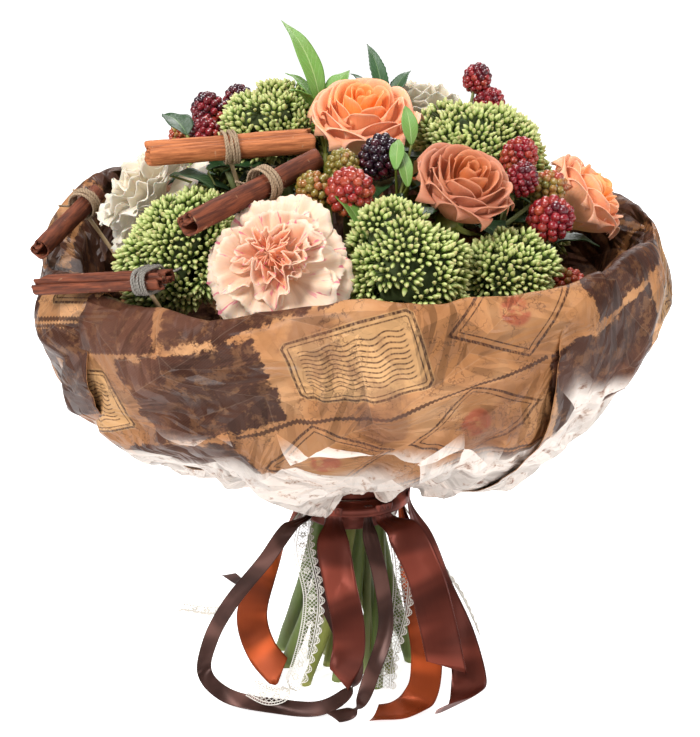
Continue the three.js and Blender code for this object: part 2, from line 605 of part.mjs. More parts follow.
// ---------------------------------------------------------------- cinnamon
/** A quill's section: bark rolled in from both sides into a double scroll, as a loop round +Z. */
function quillSection(radius, wall) {
  const outside = [];
  const inside = [];
  const open = 0.45; // radians of the gap between the two rolled lips
  const steps = 11;
  for (let i = 0; i <= steps; i++) {
    const angle = mix(open, 2 * Math.PI - open, i / steps);
    const roll = Math.min(i, steps - i) === 0 ? 0.74 : 1;
    outside.push(polar(radius * roll, angle));
    inside.unshift(polar((radius - wall) * (roll < 1 ? 0.78 : 1), angle));
  }
  return [...outside, ...inside];
}

/** One quill between two points, with its slit facing a roll angle in degrees. */
function quill(from, to, radius, roll) {
  const axis = to.clone().sub(from).normalize();
  const section = quillSection(radius, 1.5);
  const rings = [0, 1].map((share) => {
    const matrix = standing(from.clone().lerp(to, share), axis, roll);
    const size = 1 + 0.05 * Math.sin(share * 9 + roll);
    return section.map((p) => p.clone().multiplyScalar(size).applyMatrix4(matrix));
  });
  return skin(rings);
}

/** The axes of a bundle: along the quills, across them, and up from the flowers. */
function bundleFrame({ from, to }) {
  const start = vec(...from);
  const end = vec(...to);
  const along = end.clone().sub(start).normalize();
  const across = vec(0, 0, 1).cross(along).normalize();
  return { start, end, along, across, up: along.clone().cross(across).normalize() };
}

/** The quills of a bundle, side by side. */
function quills(bundle) {
  const { start, end, across } = bundleFrame(bundle);
  const { count, quill: radius, name } = bundle;
  return Array.from({ length: count }, (_, i) => {
    const shift = (i - (count - 1) / 2) * (2.1 * radius + 0.5);
    const slip = across.clone().multiplyScalar(shift);
    const shape = quill(start.clone().add(slip), end.clone().add(slip), radius * 0.95, 200 + 130 * i);
    return piece(`cinnamon_${name}_${i + 1}`, shape, "cinnamon", 0.8);
  });
}

/** Twine wound round a bundle: a band with three ridges that follows the quills' outline. */
function tie(bundle) {
  const { start, end, along, across, up } = bundleFrame(bundle);
  const { quill: radius, count } = bundle;
  const middle = start.clone().lerp(end, bundle.tie);
  const half = ((count - 1) / 2) * (2.1 * radius + 0.5);
  const around = 10;
  const profile = [[-5, 0], [5, 0], [3.4, 1.8], [0, 1.1], [-3.4, 1.8]];
  const rings = Array.from({ length: around + 1 }, (_, i) => {
    const angle = (2 * Math.PI * (i % around)) / around;
    return profile.map(([shift, proud]) => {
      const reach = radius * 1.02 + 0.55 + proud;
      const slide = half * Math.sign(Math.round(Math.cos(angle) * 100));
      return middle.clone().addScaledVector(along, shift)
        .addScaledVector(across, slide + reach * Math.cos(angle))
        .addScaledVector(up, reach * Math.sin(angle));
    });
  });
  return loop(rings.slice(0, around));
}

/** Skins rings that close on themselves, such as a wound band. */
function loop(rings) {
  const count = rings[0].length;
  const index = [];
  rings.forEach((_, i) => {
    for (let j = 0; j < count; j++) {
      const next = (j + 1) % count;
      const after = (i + 1) % rings.length;
      const [a, b, c, d] = [i * count + j, i * count + next, after * count + next, after * count + j];
      index.push(a, b, c, a, c, d);
    }
  });
  return surface(rings.flat(), index);
}

/** Where a bundle's pick meets it: under the quills, just clear of the twine. */
function pickHead(bundle) {
  const { start, end, up } = bundleFrame(bundle);
  const below = bundle.quill * 1.02 + 0.55 + 2.1;
  const base = start.clone().lerp(end, bundle.tie).addScaledVector(up, -below);
  const axis = vec(base.x / DOME.radius, base.y / DOME.radius, 1.2).normalize();
  return { base, axis };
}

// ---------------------------------------------------------------- bands and ribbons
/** A band round the handle with a slightly swollen outside. */
function band({ inner, outer, low, high }, around = 18) {
  const profile = [[inner, low], [outer, low], [outer, high], [inner, high]];
  return loop(Array.from({ length: around }, (_, i) =>
    profile.map(([r, z]) => polar(r / Math.cos(Math.PI / around), (-2 * Math.PI * i) / around, z))));
}

/**
 * A strand of ribbon from its band. Each row is a point and the direction of the width there, as its
 * turn about Z and its tilt in degrees. A strand with a second turn comes back up to the band.
 */
function strand({ width, turn, rows, back }, radius) {
  const held = (angle, z) => {
    const { x, y } = polar(radius, rad(angle));
    return [x, y, z, angle + 90, 0, GATHER];
  };
  const all = [held(turn, 115), held(turn, 106), ...rows];
  if (back !== undefined) all.push(held(back, 106), held(back, 115));
  const route = new THREE.CatmullRomCurve3(all.map(([x, y, z]) => vec(x, y, z)), false, "centripetal");
  const steps = all.length;
  const directions = all.map(([, , , yaw, tilt]) =>
    polar(Math.cos(rad(tilt)), rad(yaw), Math.sin(rad(tilt))));
  const widths = all.map((row) => (row[5] ?? 1) * width);
  directions.forEach((way, k) => {
    if (k > 0 && way.dot(directions[k - 1]) < 0) way.negate();
  });
  return skin(Array.from({ length: steps + 1 }, (_, i) => {
    const share = (i / steps) * (all.length - 1);
    const k = Math.min(Math.floor(share), all.length - 2);
    const heading = route.getTangent(i / steps);
    const across = directions[k].clone().lerp(directions[k + 1], share - k);
    across.addScaledVector(heading, -across.dot(heading));
    across.setLength(mix(widths[k], widths[k + 1], share - k) / 2);
    const normal = heading.clone().cross(across).setLength(RIBBON / 2);
    const middle = route.getPoint(i / steps);
    return [[-1, -1], [1, -1], [1, 1], [-1, 1]].map(([side, face]) =>
      middle.clone().addScaledVector(across, side).addScaledVector(normal, face));
  }));
}

/** A ribbon: its band round the handle and its strands, tied together as one body. */
function ribbon({ ring, strands }) {
  const tied = band({ ...TIE, inner: ring - TIE.thick / 2, outer: ring + TIE.thick / 2 });
  return fuse([tied, ...strands.map((row) => strand(row, ring))]);
}

// ---------------------------------------------------------------- paper collar
/** The radius of the collar's inside at a height. */
function collarInside(z) {
  const rows = COLLAR.slice(1, 8);
  if (z >= rows.at(-1)[1]) return 999;
  const k = Math.max(0, rows.findIndex(([, high]) => high > z) - 1);
  const [[r1, z1], [r2, z2]] = [rows[k], rows[k + 1]];
  return mix(r1, r2, (z - z1) / (z2 - z1));
}

/** Folds of the paper: sharp waves in and out that fade to nothing at the gathered neck. */
function crumple(angle, along) {
  const fold = (x) => (2 / Math.PI) * Math.asin(Math.sin(x));
  const grow = THREE.MathUtils.smoothstep(along, 0.2, 0.5);
  return grow * (1.8 * fold(7 * angle + 5 * along) + 1.4 * fold(11 * angle - 8 * along + 1.7));
}

/** The height that the rim gains or loses round the collar, in bell shape over the rows near it. */
function rimRise(angle, along) {
  const place = ((((angle / Math.PI) * 6) % 12) + 12) % 12;
  const k = Math.floor(place);
  const ease = (1 - Math.cos(Math.PI * (place - k))) / 2;
  const { smoothstep } = THREE.MathUtils;
  const lift = smoothstep(along, 0.25, 0.55) * (1 - smoothstep(along, 0.6, 0.95));
  return lift * mix(RIM_RISE[k], RIM_RISE[(k + 1) % 12], ease);
}

/** A point of the paper's middle surface at an angle round the axis and a row of the section. */
function collarPoint(angle, row, { nest }) {
  const [[r0, z0], [r, z], [r1, z1]] = [row - 1, row, row + 1].map((k) =>
    COLLAR[THREE.MathUtils.clamp(k, 0, COLLAR.length - 1)]);
  const slope = new THREE.Vector2(r1 - r0, z1 - z0).normalize();
  const along = row / (COLLAR.length - 1);
  const inward = crumple(angle, along) - nest; // towards the space inside the fold
  const squash = 1 - 0.045 * Math.sin(angle) ** 2 * THREE.MathUtils.smoothstep(along, 0.1, 0.3);
  return polar((r + slope.y * inward) * squash, angle, z - slope.x * inward + rimRise(angle, along));
}

/** One folded sheet of the collar over its arc, as a thin shell whose two faces are split alike. */
function collarSheet(sheet) {
  const rings = [];
  const step = 1e-3;
  for (let i = 0; i <= sheet.columns; i++) {
    const angle = rad(sheet.from + i * COLLAR_FOLD);
    const inner = [];
    const outer = [];
    for (let j = 0; j < COLLAR.length; j++) {
      const here = collarPoint(angle, j, sheet);
      const round = collarPoint(angle + step, j, sheet).sub(collarPoint(angle - step, j, sheet));
      const up = collarPoint(angle, Math.min(j + 1, COLLAR.length - 1), sheet)
        .sub(collarPoint(angle, Math.max(j - 1, 0), sheet));
      const offset = round.cross(up).normalize().multiplyScalar(PAPER / 2);
      inner.push(here.clone().sub(offset));
      outer.unshift(here.clone().add(offset));
    }
    rings.push([...inner, ...outer]);
  }
  return skin(rings);
}

// ---------------------------------------------------------------- assembly
const bouquet = new THREE.Group();

const growing = [
  ...ROSES.map((head) => ({ kind: "rose", head })),
  ...CARNATIONS.map((head) => ({ kind: "carnation", head })),
  ...SEDUMS.map((head) => ({ kind: "sedum", head })),
  ...BERRY_SPRAYS.map((head) => ({ kind: "berry", head })),
  ...LEAF_SPRAYS.map((head) => ({ kind: "leaf", head })),
  ...BUNDLES.map((head) => ({ kind: "pick", head })),
];
const UNDER = { rose: 0.86, carnation: 0.7, sedum: 0.4, berry: 0, leaf: 0 }; // a neck's depth, in head radii

/** A stem's upper end, direction and thickness. */
function rootOf({ kind, head }) {
  const radius = STEM_RADIUS[kind];
  if (kind === "pick") return { ...pickHead(head), radius, core: false };
  const { at, axis } = seat(head);
  const base = at.clone().addScaledVector(axis, -UNDER[kind] * (head.radius ?? 0));
  return { base, axis, radius, core: Boolean(head.core) };
}

const roots = growing.map(rootOf);
const paths = sheaf(roots);

/** Spheres that stand for everything that a sedum head must stay clear of. */
const obstacles = [
  ...[...ROSES, ...CARNATIONS].map((head) => ({ at: seat(head).at, radius: head.radius })),
  ...BERRY_SPRAYS.flatMap(berryPlaces).flatMap(({ hub, bend, foot, middle, R }) => [
    { at: middle, radius: R * 1.12 },
    ...[0, 0.33, 0.67, 1].flatMap((share) => [
      { at: hub.clone().lerp(bend, share), radius: 1.6 },
      { at: bend.clone().lerp(foot, share), radius: 1.4 }]),
  ]),
  ...LEAF_SPRAYS.flatMap((spray) => spray.leaves.flatMap(([x, y, lift]) => [0, 0.5, 1].map((share) => (
    { at: seat(spray).at.lerp(seat({ x, y, lift }).at, share), radius: 2.2 })))),
  ...BUNDLES.flatMap((bundle) => {
    const { start, end } = bundleFrame(bundle);
    return Array.from({ length: 12 }, (_, i) => ({
      at: start.clone().lerp(end, i / 11), radius: bundle.quill * (bundle.count > 1 ? 2.3 : 1.2) }));
  }),
];

/** Spheres along the upper part of every other stem. */
function stemObstacles(own) {
  return paths.flatMap((path, i) => (i === own ? [] : Array.from({ length: 18 }, (_, k) => {
    const [low, middle, high] = path.slice(-3);
    const at = k < 9 ? low.clone().lerp(middle, k / 9) : middle.clone().lerp(high, (k - 9) / 8);
    return { at, radius: roots[i].radius };
  })));
}

/** The parts of what grows on a stem, apart from the stem, and those that the stem's own node takes. */
const HEADS = {
  rose: (head) => calyx(head, { top: 0.78, cup: 0.24, depth: 0.22, sepals: 5 }),
  carnation: (head) => calyx(head, { top: 0.5, cup: 0.18, depth: 0.42, sepals: 0 }),
  sedum: (head, i) => [
    sedumHead(head, roomAround(head, [...obstacles, ...stemObstacles(i)])).applyMatrix4(seat(head).matrix)],
  berry: berrySpray,
  leaf: leafSpray,
  pick: () => [],
};

growing.forEach(({ kind, head }, i) => {
  const grown = fuse([stemRod(paths[i], roots[i].radius), ...HEADS[kind](head, i)]);
  if (kind === "rose" || kind === "carnation") {
    const bloom = fuse(kind === "rose" ? rose(head) : carnation(head, 11 + i));
    const placed = bloom.transform(seat(head).matrix.elements);
    bouquet.add(piece(`${head.name}_petals`, placed, head.colour ?? "rose"));
    bouquet.add(piece(`${head.name}_stem`, grown, "stem"));
  } else if (kind === "pick") {
    bouquet.add(piece(`pick_${head.name}`, grown, "pick", 0.8));
    bouquet.add(piece(`twine_${head.name}`, tie(head), "twine", 0.9));
    bouquet.add(...quills(head));
  } else {
    bouquet.add(piece(head.name, grown, kind, kind === "berry" ? 0.35 : 0.6));
  }
});

bouquet.add(piece("binding", band(BINDING), "twine", 0.9));
bouquet.add(piece("satin_wrap", band(WRAP), "satin", 0.35));
RIBBONS.forEach((row) => bouquet.add(piece(row.name, ribbon(row), row.colour, 0.4)));
bouquet.add(piece("collar_front", collarSheet(COLLAR_FRONT), "paper", 0.8));
bouquet.add(piece("collar_back", collarSheet(COLLAR_BACK), "paper", 0.8));

export default bouquet;
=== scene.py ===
"""A hand-tied mixed bouquet in a folded paper collar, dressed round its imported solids.

Lengths are millimetres until a piece is made, and metres from there on. +Z is up and the front faces -Y.
"""

import logging
import math
from collections.abc import Callable, Sequence
from dataclasses import dataclass, field
from enum import Enum
from typing import Any

import bpy
import numpy as np
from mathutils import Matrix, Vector


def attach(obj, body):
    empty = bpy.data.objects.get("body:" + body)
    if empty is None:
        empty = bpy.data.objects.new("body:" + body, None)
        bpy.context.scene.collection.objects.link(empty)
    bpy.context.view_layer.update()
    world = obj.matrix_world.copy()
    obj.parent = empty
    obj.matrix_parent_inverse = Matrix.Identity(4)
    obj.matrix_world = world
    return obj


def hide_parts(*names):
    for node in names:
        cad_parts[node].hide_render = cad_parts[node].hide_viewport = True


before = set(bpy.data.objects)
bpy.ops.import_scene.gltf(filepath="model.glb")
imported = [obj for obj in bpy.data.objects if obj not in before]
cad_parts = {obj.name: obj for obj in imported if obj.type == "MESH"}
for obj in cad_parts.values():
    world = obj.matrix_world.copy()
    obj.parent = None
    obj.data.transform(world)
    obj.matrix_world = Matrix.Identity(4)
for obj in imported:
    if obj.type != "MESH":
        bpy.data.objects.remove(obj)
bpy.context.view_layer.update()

log = logging.getLogger("bouquet")
Array = np.ndarray
Colour = tuple[float, float, float]
Profile = Sequence[tuple[float, float]]
Rows = tuple[tuple[float, ...], ...]
Material = bpy.types.Material
Piece = bpy.types.Object
MM = 0.001
GOLDEN = math.pi * (3 - math.sqrt(5))
UP = np.array([0.0, 0.0, 1.0])

# The heads sit on a half ellipsoid, and the stems cross in a binding below it.
DOME_RADIUS = 150.0
DOME_HEIGHT = 106.0
DOME_BASE = 238.0
LEVELS = (0.0, 52.0, 114.0, 158.0, 194.0, 230.0, 276.0)  # heights at which every stem has a ring
STEM_SIDES = 5
STEM_RADIUS = {"rose": 3.2, "carnation": 2.5, "sedum": 4.5, "berry": 2.4, "leaf": 2.0, "pick": 1.4}
BINDING_GATHER = 0.55  # a ribbon's width in its band, as a share of its free width
THROUGH_LIGHT = 0.09  # a painted glow of the petals, given off in place of light that comes through them

# Creases of the paper: direction in radians, distance between them and depth in mm.
FOLD_SHEAR = 0.6
BROAD_FOLDS = ((0.5, 58.0, 5.6), (1.75, 44.0, 4.6), (2.6, 71.0, 5.4), (1.2, 33.0, 3.4), (2.9, 25.0, 2.6),
               (0.2, 18.0, 1.8), (2.1, 13.0, 1.2))
FINE_FOLDS = ((0.9, 41.0, 8.2), (2.4, 27.0, 5.6), (1.6, 17.0, 3.4), (0.15, 11.0, 2.0), (2.95, 7.0, 1.1),
              (1.3, 4.6, 0.6))
WEAR_AND_HIGHLIGHT_FOLD = 12.0  # a fine fold with more mm than this between creases gets pale lines, partly wear and partly painted highlight


# ---------------------------------------------------------------- small tools
def unit(v: Array) -> Array:
    """Scales vectors to length one along their last axis."""
    return v / np.maximum(np.linalg.norm(v, axis=-1, keepdims=True), 1e-9)


def mix(a: Any, b: Any, share: Any) -> Any:
    """Blends from a to b."""
    return a + (b - a) * share


def smooth(x: Any, low: float, high: float) -> Any:
    """Steps smoothly from 0 at low to 1 at high."""
    t = np.clip((x - low) / (high - low), 0, 1)
    return t * t * (3 - 2 * t)


def zigzag(x: Array) -> Array:
    """A wave of straight flanks from -1 to 1, in step with the sine."""
    return (2 / math.pi) * np.arcsin(np.sin(x))


def polar(radius: Any, angle: Any, z: Any = 0.0) -> Array:
    """Makes points from a radius, an angle in radians and a height."""
    radius, angle, z = np.broadcast_arrays(np.asarray(radius, float), angle, z)
    return np.stack([radius * np.cos(angle), radius * np.sin(angle), z], axis=-1)


def circle(count: int, start: float = 0.0) -> Array:
    """Angles spread evenly round a circle."""
    return np.linspace(start, start + 2 * math.pi, count, endpoint=False)


def patch(rows: int, columns: int) -> tuple[Array, Array]:
    """Places on a sheet: from 0 to 1 down its rows, and from -1 to 1 over its columns."""
    return np.linspace(0, 1, rows)[:, None], np.linspace(-1, 1, columns)[None, :]


def run_along(path: Array) -> Array:
    """The length of a path up to each of its points."""
    return np.concatenate([[0], np.cumsum(np.linalg.norm(np.diff(path, axis=0), axis=1))])


def walked(path: Array, run: Array, at: Array) -> Array:
    """Finds the points of a path at other lengths than the run that it has at its own points."""
    return np.stack([np.interp(at, run, column) for column in path.T], axis=1)


def turned(axis: Array, roll: float = 0.0) -> Array:
    """Finds the rotation that carries +Z to an axis after a roll about +Z.

    Args:
        axis: The direction that +Z is carried to.
        roll: Degrees of roll before that.

    Returns:
        A 3 by 3 matrix for column vectors.
    """
    x, y, z = unit(np.asarray(axis, float))
    cross = np.array([[0, 0, x], [0, 0, y], [-x, -y, 0]])
    lean = np.eye(3) + cross + cross @ cross / max(1 + z, 1e-6)
    c, s = math.cos(math.radians(roll)), math.sin(math.radians(roll))
    return lean @ np.array([[c, -s, 0], [s, c, 0], [0, 0, 1]])


def crumple(u: Array, v: Array, folds: Rows) -> Array:
    """Heights of paper creased along straight folds, each of which bends the ones after it.

    Args:
        u, v: Places on the sheet, in mm.
        folds: Rows of direction in radians, distance between folds and depth, in mm.

    Returns:
        Heights in mm, about zero.
    """
    height = 0.0
    for turn, size, depth in folds:
        c, s = math.cos(turn), math.sin(turn)
        wave = abs(np.mod(u * c + v * s, 2 * size) - size)
        height = height + (wave / size - 0.5) * depth
        u, v = u - FOLD_SHEAR * s * wave, v + FOLD_SHEAR * c * wave
    return height


def spline(rows: Sequence[Sequence[float]], count: int) -> Array:
    """Runs a smooth curve through rows of numbers, evenly by row.

    Args:
        rows: The numbers at each point of the curve.
        count: How many rows to return.

    Returns:
        An array of count rows.
    """
    p = np.asarray(rows, float)
    p = np.vstack([2 * p[0] - p[1], p, 2 * p[-1] - p[-2]])
    t = np.linspace(0, len(rows) - 1, count)
    k = np.minimum(t.astype(int), len(rows) - 2)
    f = (t - k)[:, None]
    a, b, c, d = p[k], p[k + 1], p[k + 2], p[k + 3]
    return 0.5 * (2 * b + (c - a) * f + (2 * a - 5 * b + 4 * c - d) * f**2 + (3 * b - a - 3 * c + d) * f**3)


def tube(path: Array, radii: Any, sides: int = 8, ply: float = 0.0, lay: float = 4.0) -> Array:
    """Sweeps a ring along a path without twist.

    Args:
        path: Points of the path, shape (n, 3).
        radii: One radius or one for each point.
        sides: Points of a ring.
        ply: Depth of the groove between two twisted plies, as a share of the radius.
        lay: Length of one turn of the plies.

    Returns:
        A grid of points, shape (n, sides, 3).
    """
    heading = unit(np.gradient(path, axis=0))
    side = unit(np.cross(heading[0], [0.31, 0.2, 0.93]))
    phi = circle(sides)
    rings = []
    for at, ahead, radius, run in zip(path, heading, np.broadcast_to(radii, len(path)), run_along(path)):
        side = unit(side - ahead * (side @ ahead))
        over = np.cross(ahead, side)
        r = radius * (1 + ply * np.cos(2 * (phi - 2 * math.pi * run / lay)))
        rings.append(at + (r * np.cos(phi))[:, None] * side + (r * np.sin(phi))[:, None] * over)
    return np.array(rings)


@dataclass(frozen=True)
class Seat:
    """A place on the bouquet's dome, in mm and degrees, as its solids use it."""

    x: float
    y: float
    lift: float = 0.0
    roll: float = 0.0
    nod: float = 0.0

    @property
    def rise(self) -> float:
        """The height of the unit sphere at this place."""
        return math.sqrt(1 - (self.x**2 + self.y**2) / DOME_RADIUS**2)

    @property
    def normal(self) -> Array:
        """The way out of the dome."""
        return unit(np.array([self.x / DOME_RADIUS**2, self.y / DOME_RADIUS**2, self.rise / DOME_HEIGHT]))

    @property
    def at(self) -> Array:
        """The point that the head is built round."""
        ground = np.array([self.x, self.y, DOME_BASE + DOME_HEIGHT * self.rise])
        return ground + self.lift * self.normal

    @property
    def axis(self) -> Array:
        """The way that the head faces, after its nod to the front."""
        x, y, z = self.normal
        c, s = math.cos(math.radians(self.nod)), math.sin(math.radians(self.nod))
        return np.array([x, c * y - s * z, s * y + c * z])

    def place(self, points: Array) -> Array:
        """Carries points from the head's own axes to the bouquet's."""
        return points @ turned(self.axis, self.roll).T + self.at

    def local(self, points: Array) -> Array:
        """Carries points from the bouquet's axes to the head's own."""
        return (points - self.at) @ turned(self.axis, self.roll)


class Pool:
    """Collects the many small shapes of one piece, with the values that its material reads."""

    def __init__(self) -> None:
        """Starts an empty pool."""
        self.points: list[Array] = []
        self.faces: list[Array] = []
        self.values: dict[str, list[Array]] = {}
        self.count = 0

    def sheets(self, grids: Array, *, around: bool = False, caps: bool = False, **values: Any) -> None:
        """Adds grids of points as sheets of quads.

        Args:
            grids: Shape (shapes, rows, columns, 3), or (rows, columns, 3) for one.
            around: Joins the last column to the first.
            caps: Closes the first and the last row with a face each.
            **values: Numbers that spread over (shapes, rows, columns), stored on the points.
        """
        grids = np.asarray(grids, float)
        grids = grids[None] if grids.ndim == 3 else grids
        shapes, rows, columns = grids.shape[:3]
        index = np.arange(shapes * rows * columns).reshape(shapes, rows, columns) + self.count
        left = index if around else index[..., :-1]
        right = np.roll(index, -1, axis=2) if around else index[..., 1:]
        quads = np.stack([left[:, :-1], right[:, :-1], right[:, 1:], left[:, 1:]], axis=-1)
        self.faces.append(quads.reshape(-1, 4))
        if caps:
            self.faces += [index[:, 0, ::-1], index[:, -1]]
        self.points.append(grids.reshape(-1, 3))
        for name in set(self.values) | set(values):
            stored = self.values.setdefault(name, [np.zeros(self.count)])
            stored.append(np.broadcast_to(values.get(name, 0.0), (shapes, rows, columns)).ravel())
        self.count += shapes * rows * columns

    def mesh(self, name: str, *materials: Material) -> Piece:
        """Turns what was collected into an object of smooth faces, in metres.

        Args:
            name: The object's name.
            *materials: Its materials, slot by slot.

        Returns:
            The new object.
        """
        mesh = bpy.data.meshes.new(name)
        corners = np.concatenate([f.ravel() for f in self.faces]).astype(np.int32)
        totals = np.concatenate([np.full(len(f), f.shape[1]) for f in self.faces])
        starts = np.concatenate([[0], np.cumsum(totals)[:-1]]).astype(np.int32)
        mesh.vertices.add(self.count)
        mesh.vertices.foreach_set("co", (np.concatenate(self.points) * MM).astype(np.float32).ravel())
        mesh.loops.add(len(corners))
        mesh.loops.foreach_set("vertex_index", corners)
        mesh.polygons.add(len(starts))
        mesh.polygons.foreach_set("loop_start", starts)
        mesh.update(calc_edges=True)
        mesh.polygons.foreach_set("use_smooth", np.ones(len(starts), bool))
        for key, parts in self.values.items():
            made = mesh.attributes.new(key, "FLOAT", "POINT")
            made.data.foreach_set("value", np.concatenate(parts).astype(np.float32))
        mesh.validate()
        for one in materials:
            mesh.materials.append(one)
        piece = bpy.data.objects.new(name, mesh)
        bpy.context.scene.collection.objects.link(piece)
        return piece

    def piece(self, name: str, slot: str, nodes: Sequence[str], *materials: Material,
              thick: float = 0.0) -> Piece:
        """Makes a piece of the bouquet and puts it into the frame.

        Args:
            name: The piece's name.
            slot: The record's slot that its finish comes from; not used.
            nodes: The solids that it stands for.
            *materials: Its material, and one for its reverse and edges where they differ.
            thick: The thickness that a sheet gets, in mm.

        Returns:
            The piece.
        """
        piece = self.mesh(name, *materials)
        if thick:
            shell = piece.modifiers.new("thickness", "SOLIDIFY")
            shell.thickness, shell.offset = thick * MM, 0
            shell.material_offset = shell.material_offset_rim = len(materials) - 1
        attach(piece, "root")
        if nodes:
            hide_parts(*nodes)
        log.info("%s: %d points", name, self.count)
        return piece


def node_points(node: str) -> Array:
    """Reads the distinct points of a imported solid.

    Args:
        node: The solid's name.

    Returns:
        Its points, in mm.
    """
    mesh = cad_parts[node].data
    points = np.zeros(len(mesh.vertices) * 3, np.float32)
    mesh.vertices.foreach_get("co", points)
    return np.unique(np.round(points.reshape(-1, 3) / MM, 2), axis=0)


def stem_line(node: str, end: Array) -> Array:
    """Finds a stem's middle line from the rings of its solid.

    Args:
        node: The solid that holds the stem.
        end: The stem's upper end, in mm.

    Returns:
        Points about 6 mm apart, softly rounded where the stem bends.
    """
    points = node_points(node)
    line: list[Array] = []
    for level in (z for z in LEVELS if z < end[2] - 14):
        near = points[abs(points[:, 2] - level) < 5]
        if len(line) > 1:
            guess = line[-1] + (line[-1] - line[-2]) * (level - line[-1][2]) / (line[-1][2] - line[-2][2])
            guess = mix(guess, mix(line[-1], end, (level - line[-1][2]) / (end[2] - line[-1][2])), 0.5)
            near = near[np.argsort(np.linalg.norm(near - guess, axis=1))[:STEM_SIDES]]
        line.append(np.array([*near.mean(axis=0)[:2], level]))
    route = np.array([*line, end])
    run = run_along(route)
    fine = walked(route, run, np.linspace(0, run[-1], int(run[-1] / 6) + 2))
    for _ in range(3):
        fine[1:-1] = (fine[:-2] + 2 * fine[1:-1] + fine[2:]) / 4
    return fine


# ---------------------------------------------------------------- shader tools
def sign(operation: str, before: bool = False) -> Callable[["Signal", Any], "Signal"]:
    """Makes the method of a sign of arithmetic.

    Args:
        operation: The Math node's operation.
        before: Whether the other value comes first.

    Returns:
        The method.
    """
    def act(self: "Signal", other: Any) -> "Signal":
        """Adds the node."""
        return self.shader.math(operation, *((other, self) if before else (self, other)))

    return act


@dataclass(frozen=True)
class Signal:
    """What comes out of a node, with the arithmetic of a number. Each step of it adds a node."""

    shader: "Shader"
    socket: bpy.types.NodeSocket

    def take(self, operation: str, *others: Any) -> "Signal":
        """Does one operation of the Math node on this value and others."""
        return self.shader.math(operation, self, *others)

    def step(self, low: float, high: float) -> "Signal":
        """Steps smoothly from 0 at low to 1 at high."""
        inputs = {0: self, 1: low, 2: high, 3: 0.0, 4: 1.0}
        return self.shader.node("MapRange", inputs, interpolation_type="SMOOTHSTEP")

    def stroke(self, at: float, width: float) -> "Signal":
        """Masks a line of a width where this distance, in mm, has a value."""
        return abs(self - at).step(width / 2 + 0.35, width / 2 - 0.1)

    def __abs__(self) -> "Signal":
        """The size without the sign."""
        return self.take("ABSOLUTE")

    __add__, __radd__ = sign("ADD"), sign("ADD", before=True)
    __sub__, __rsub__ = sign("SUBTRACT"), sign("SUBTRACT", before=True)
    __mul__, __truediv__ = sign("MULTIPLY"), sign("DIVIDE")
    __or__ = sign("MAXIMUM")  # joins masks
    __lt__, __gt__ = sign("LESS_THAN"), sign("GREATER_THAN")


class Shader:
    """Builds a node tree with short calls."""

    def __init__(self, tree: bpy.types.NodeTree) -> None:
        """Starts on a tree."""
        self.tree = tree

    def feed(self, socket: bpy.types.NodeSocket, value: Any) -> None:
        """Links an input to a signal, or sets it to a number, a vector or a colour.

        Args:
            socket: The input.
            value: What it gets.
        """
        if isinstance(value, Signal):
            self.tree.links.new(value.socket, socket)
        else:
            socket.default_value = (*value, 1.0) if socket.type == "RGBA" else value

    def place(self, kind: str, inputs: dict[Any, Any] | None = None, **settings: Any) -> bpy.types.Node:
        """Adds a node.

        Args:
            kind: The node's type after "ShaderNode".
            inputs: Values or signals by input name or number.
            **settings: The node's own properties.

        Returns:
            The new node.
        """
        made = self.tree.nodes.new("ShaderNode" + kind)
        for key, value in settings.items():
            setattr(made, key, value)
        for key, value in (inputs or {}).items():
            self.feed(made.inputs[key], value)
        return made

    def node(self, kind: str, inputs: dict[Any, Any] | None = None, output: Any = 0,
             **settings: Any) -> Signal:
        """Adds a node and takes one output of it, by name or number."""
        return Signal(self, self.place(kind, inputs, **settings).outputs[output])

    def math(self, operation: str, *inputs: Any, clamp: bool = False) -> Signal:
        """Does arithmetic on signals or numbers."""
        return self.node("Math", dict(enumerate(inputs)), operation=operation, use_clamp=clamp)

    def blend(self, share: Any, a: Any, b: Any) -> Signal:
        """Mixes two colours."""
        return self.node("Mix", {0: share, 6: a, 7: b}, 2, data_type="RGBA")

    def values(self, *names: str) -> list[Signal]:
        """Reads numbers stored on the points."""
        return [self.node("Attribute", output="Fac", attribute_name=name) for name in names]

    def vector(self, x: Any, y: Any = 0.0, z: Any = 0.0) -> Signal:
        """Joins three numbers to a place."""
        return self.node("CombineXYZ", {0: x, 1: y, 2: z})

    def where(self) -> Signal:
        """The place on the piece."""
        return self.node("TexCoord", output="Object")

    def noise(self, scale: float, detail: float, at: Signal | None = None, roughness: float = 0.55) -> Signal:
        """Cloudy noise from 0 to 1, by the place in metres or by another vector."""
        at = at or self.where()
        return self.node("TexNoise", {"Vector": at, "Scale": scale, "Detail": detail, "Roughness": roughness})

    def ramp(self, share: Signal, *stops: tuple[float, Colour]) -> Signal:
        """Colours by share.

        Args:
            share: The place on the ramp.
            *stops: Places on it, each with its colour.

        Returns:
            The colour.
        """
        made = self.place("ValToRGB", {0: share})
        band = made.color_ramp
        while len(band.elements) < len(stops):
            band.elements.new(0.5)
        for element, (at, colour) in zip(band.elements, stops):
            element.position = at
            element.color = (*colour, 1.0)
        return Signal(self, made.outputs[0])

    def bump(self, height: Signal, distance: float, strength: float) -> Signal:
        """Bumps the surface by a height, over a distance in metres."""
        return self.node("Bump", {"Height": height, "Distance": distance, "Strength": strength})

    def group(self, tree: bpy.types.NodeTree, **inputs: Any) -> dict[str, Signal]:
        """Places a node group.

        Args:
            tree: The group.
            **inputs: Values or signals by the names of its inputs.

        Returns:
            Its outputs by name.
        """
        made = self.place("Group", node_tree=tree)
        for key, value in inputs.items():
            self.feed(made.inputs[key], value)
        return {socket.name: Signal(self, socket) for socket in made.outputs}


Wiring = Callable[[Shader, dict[str, Signal]], dict[str, Signal]]


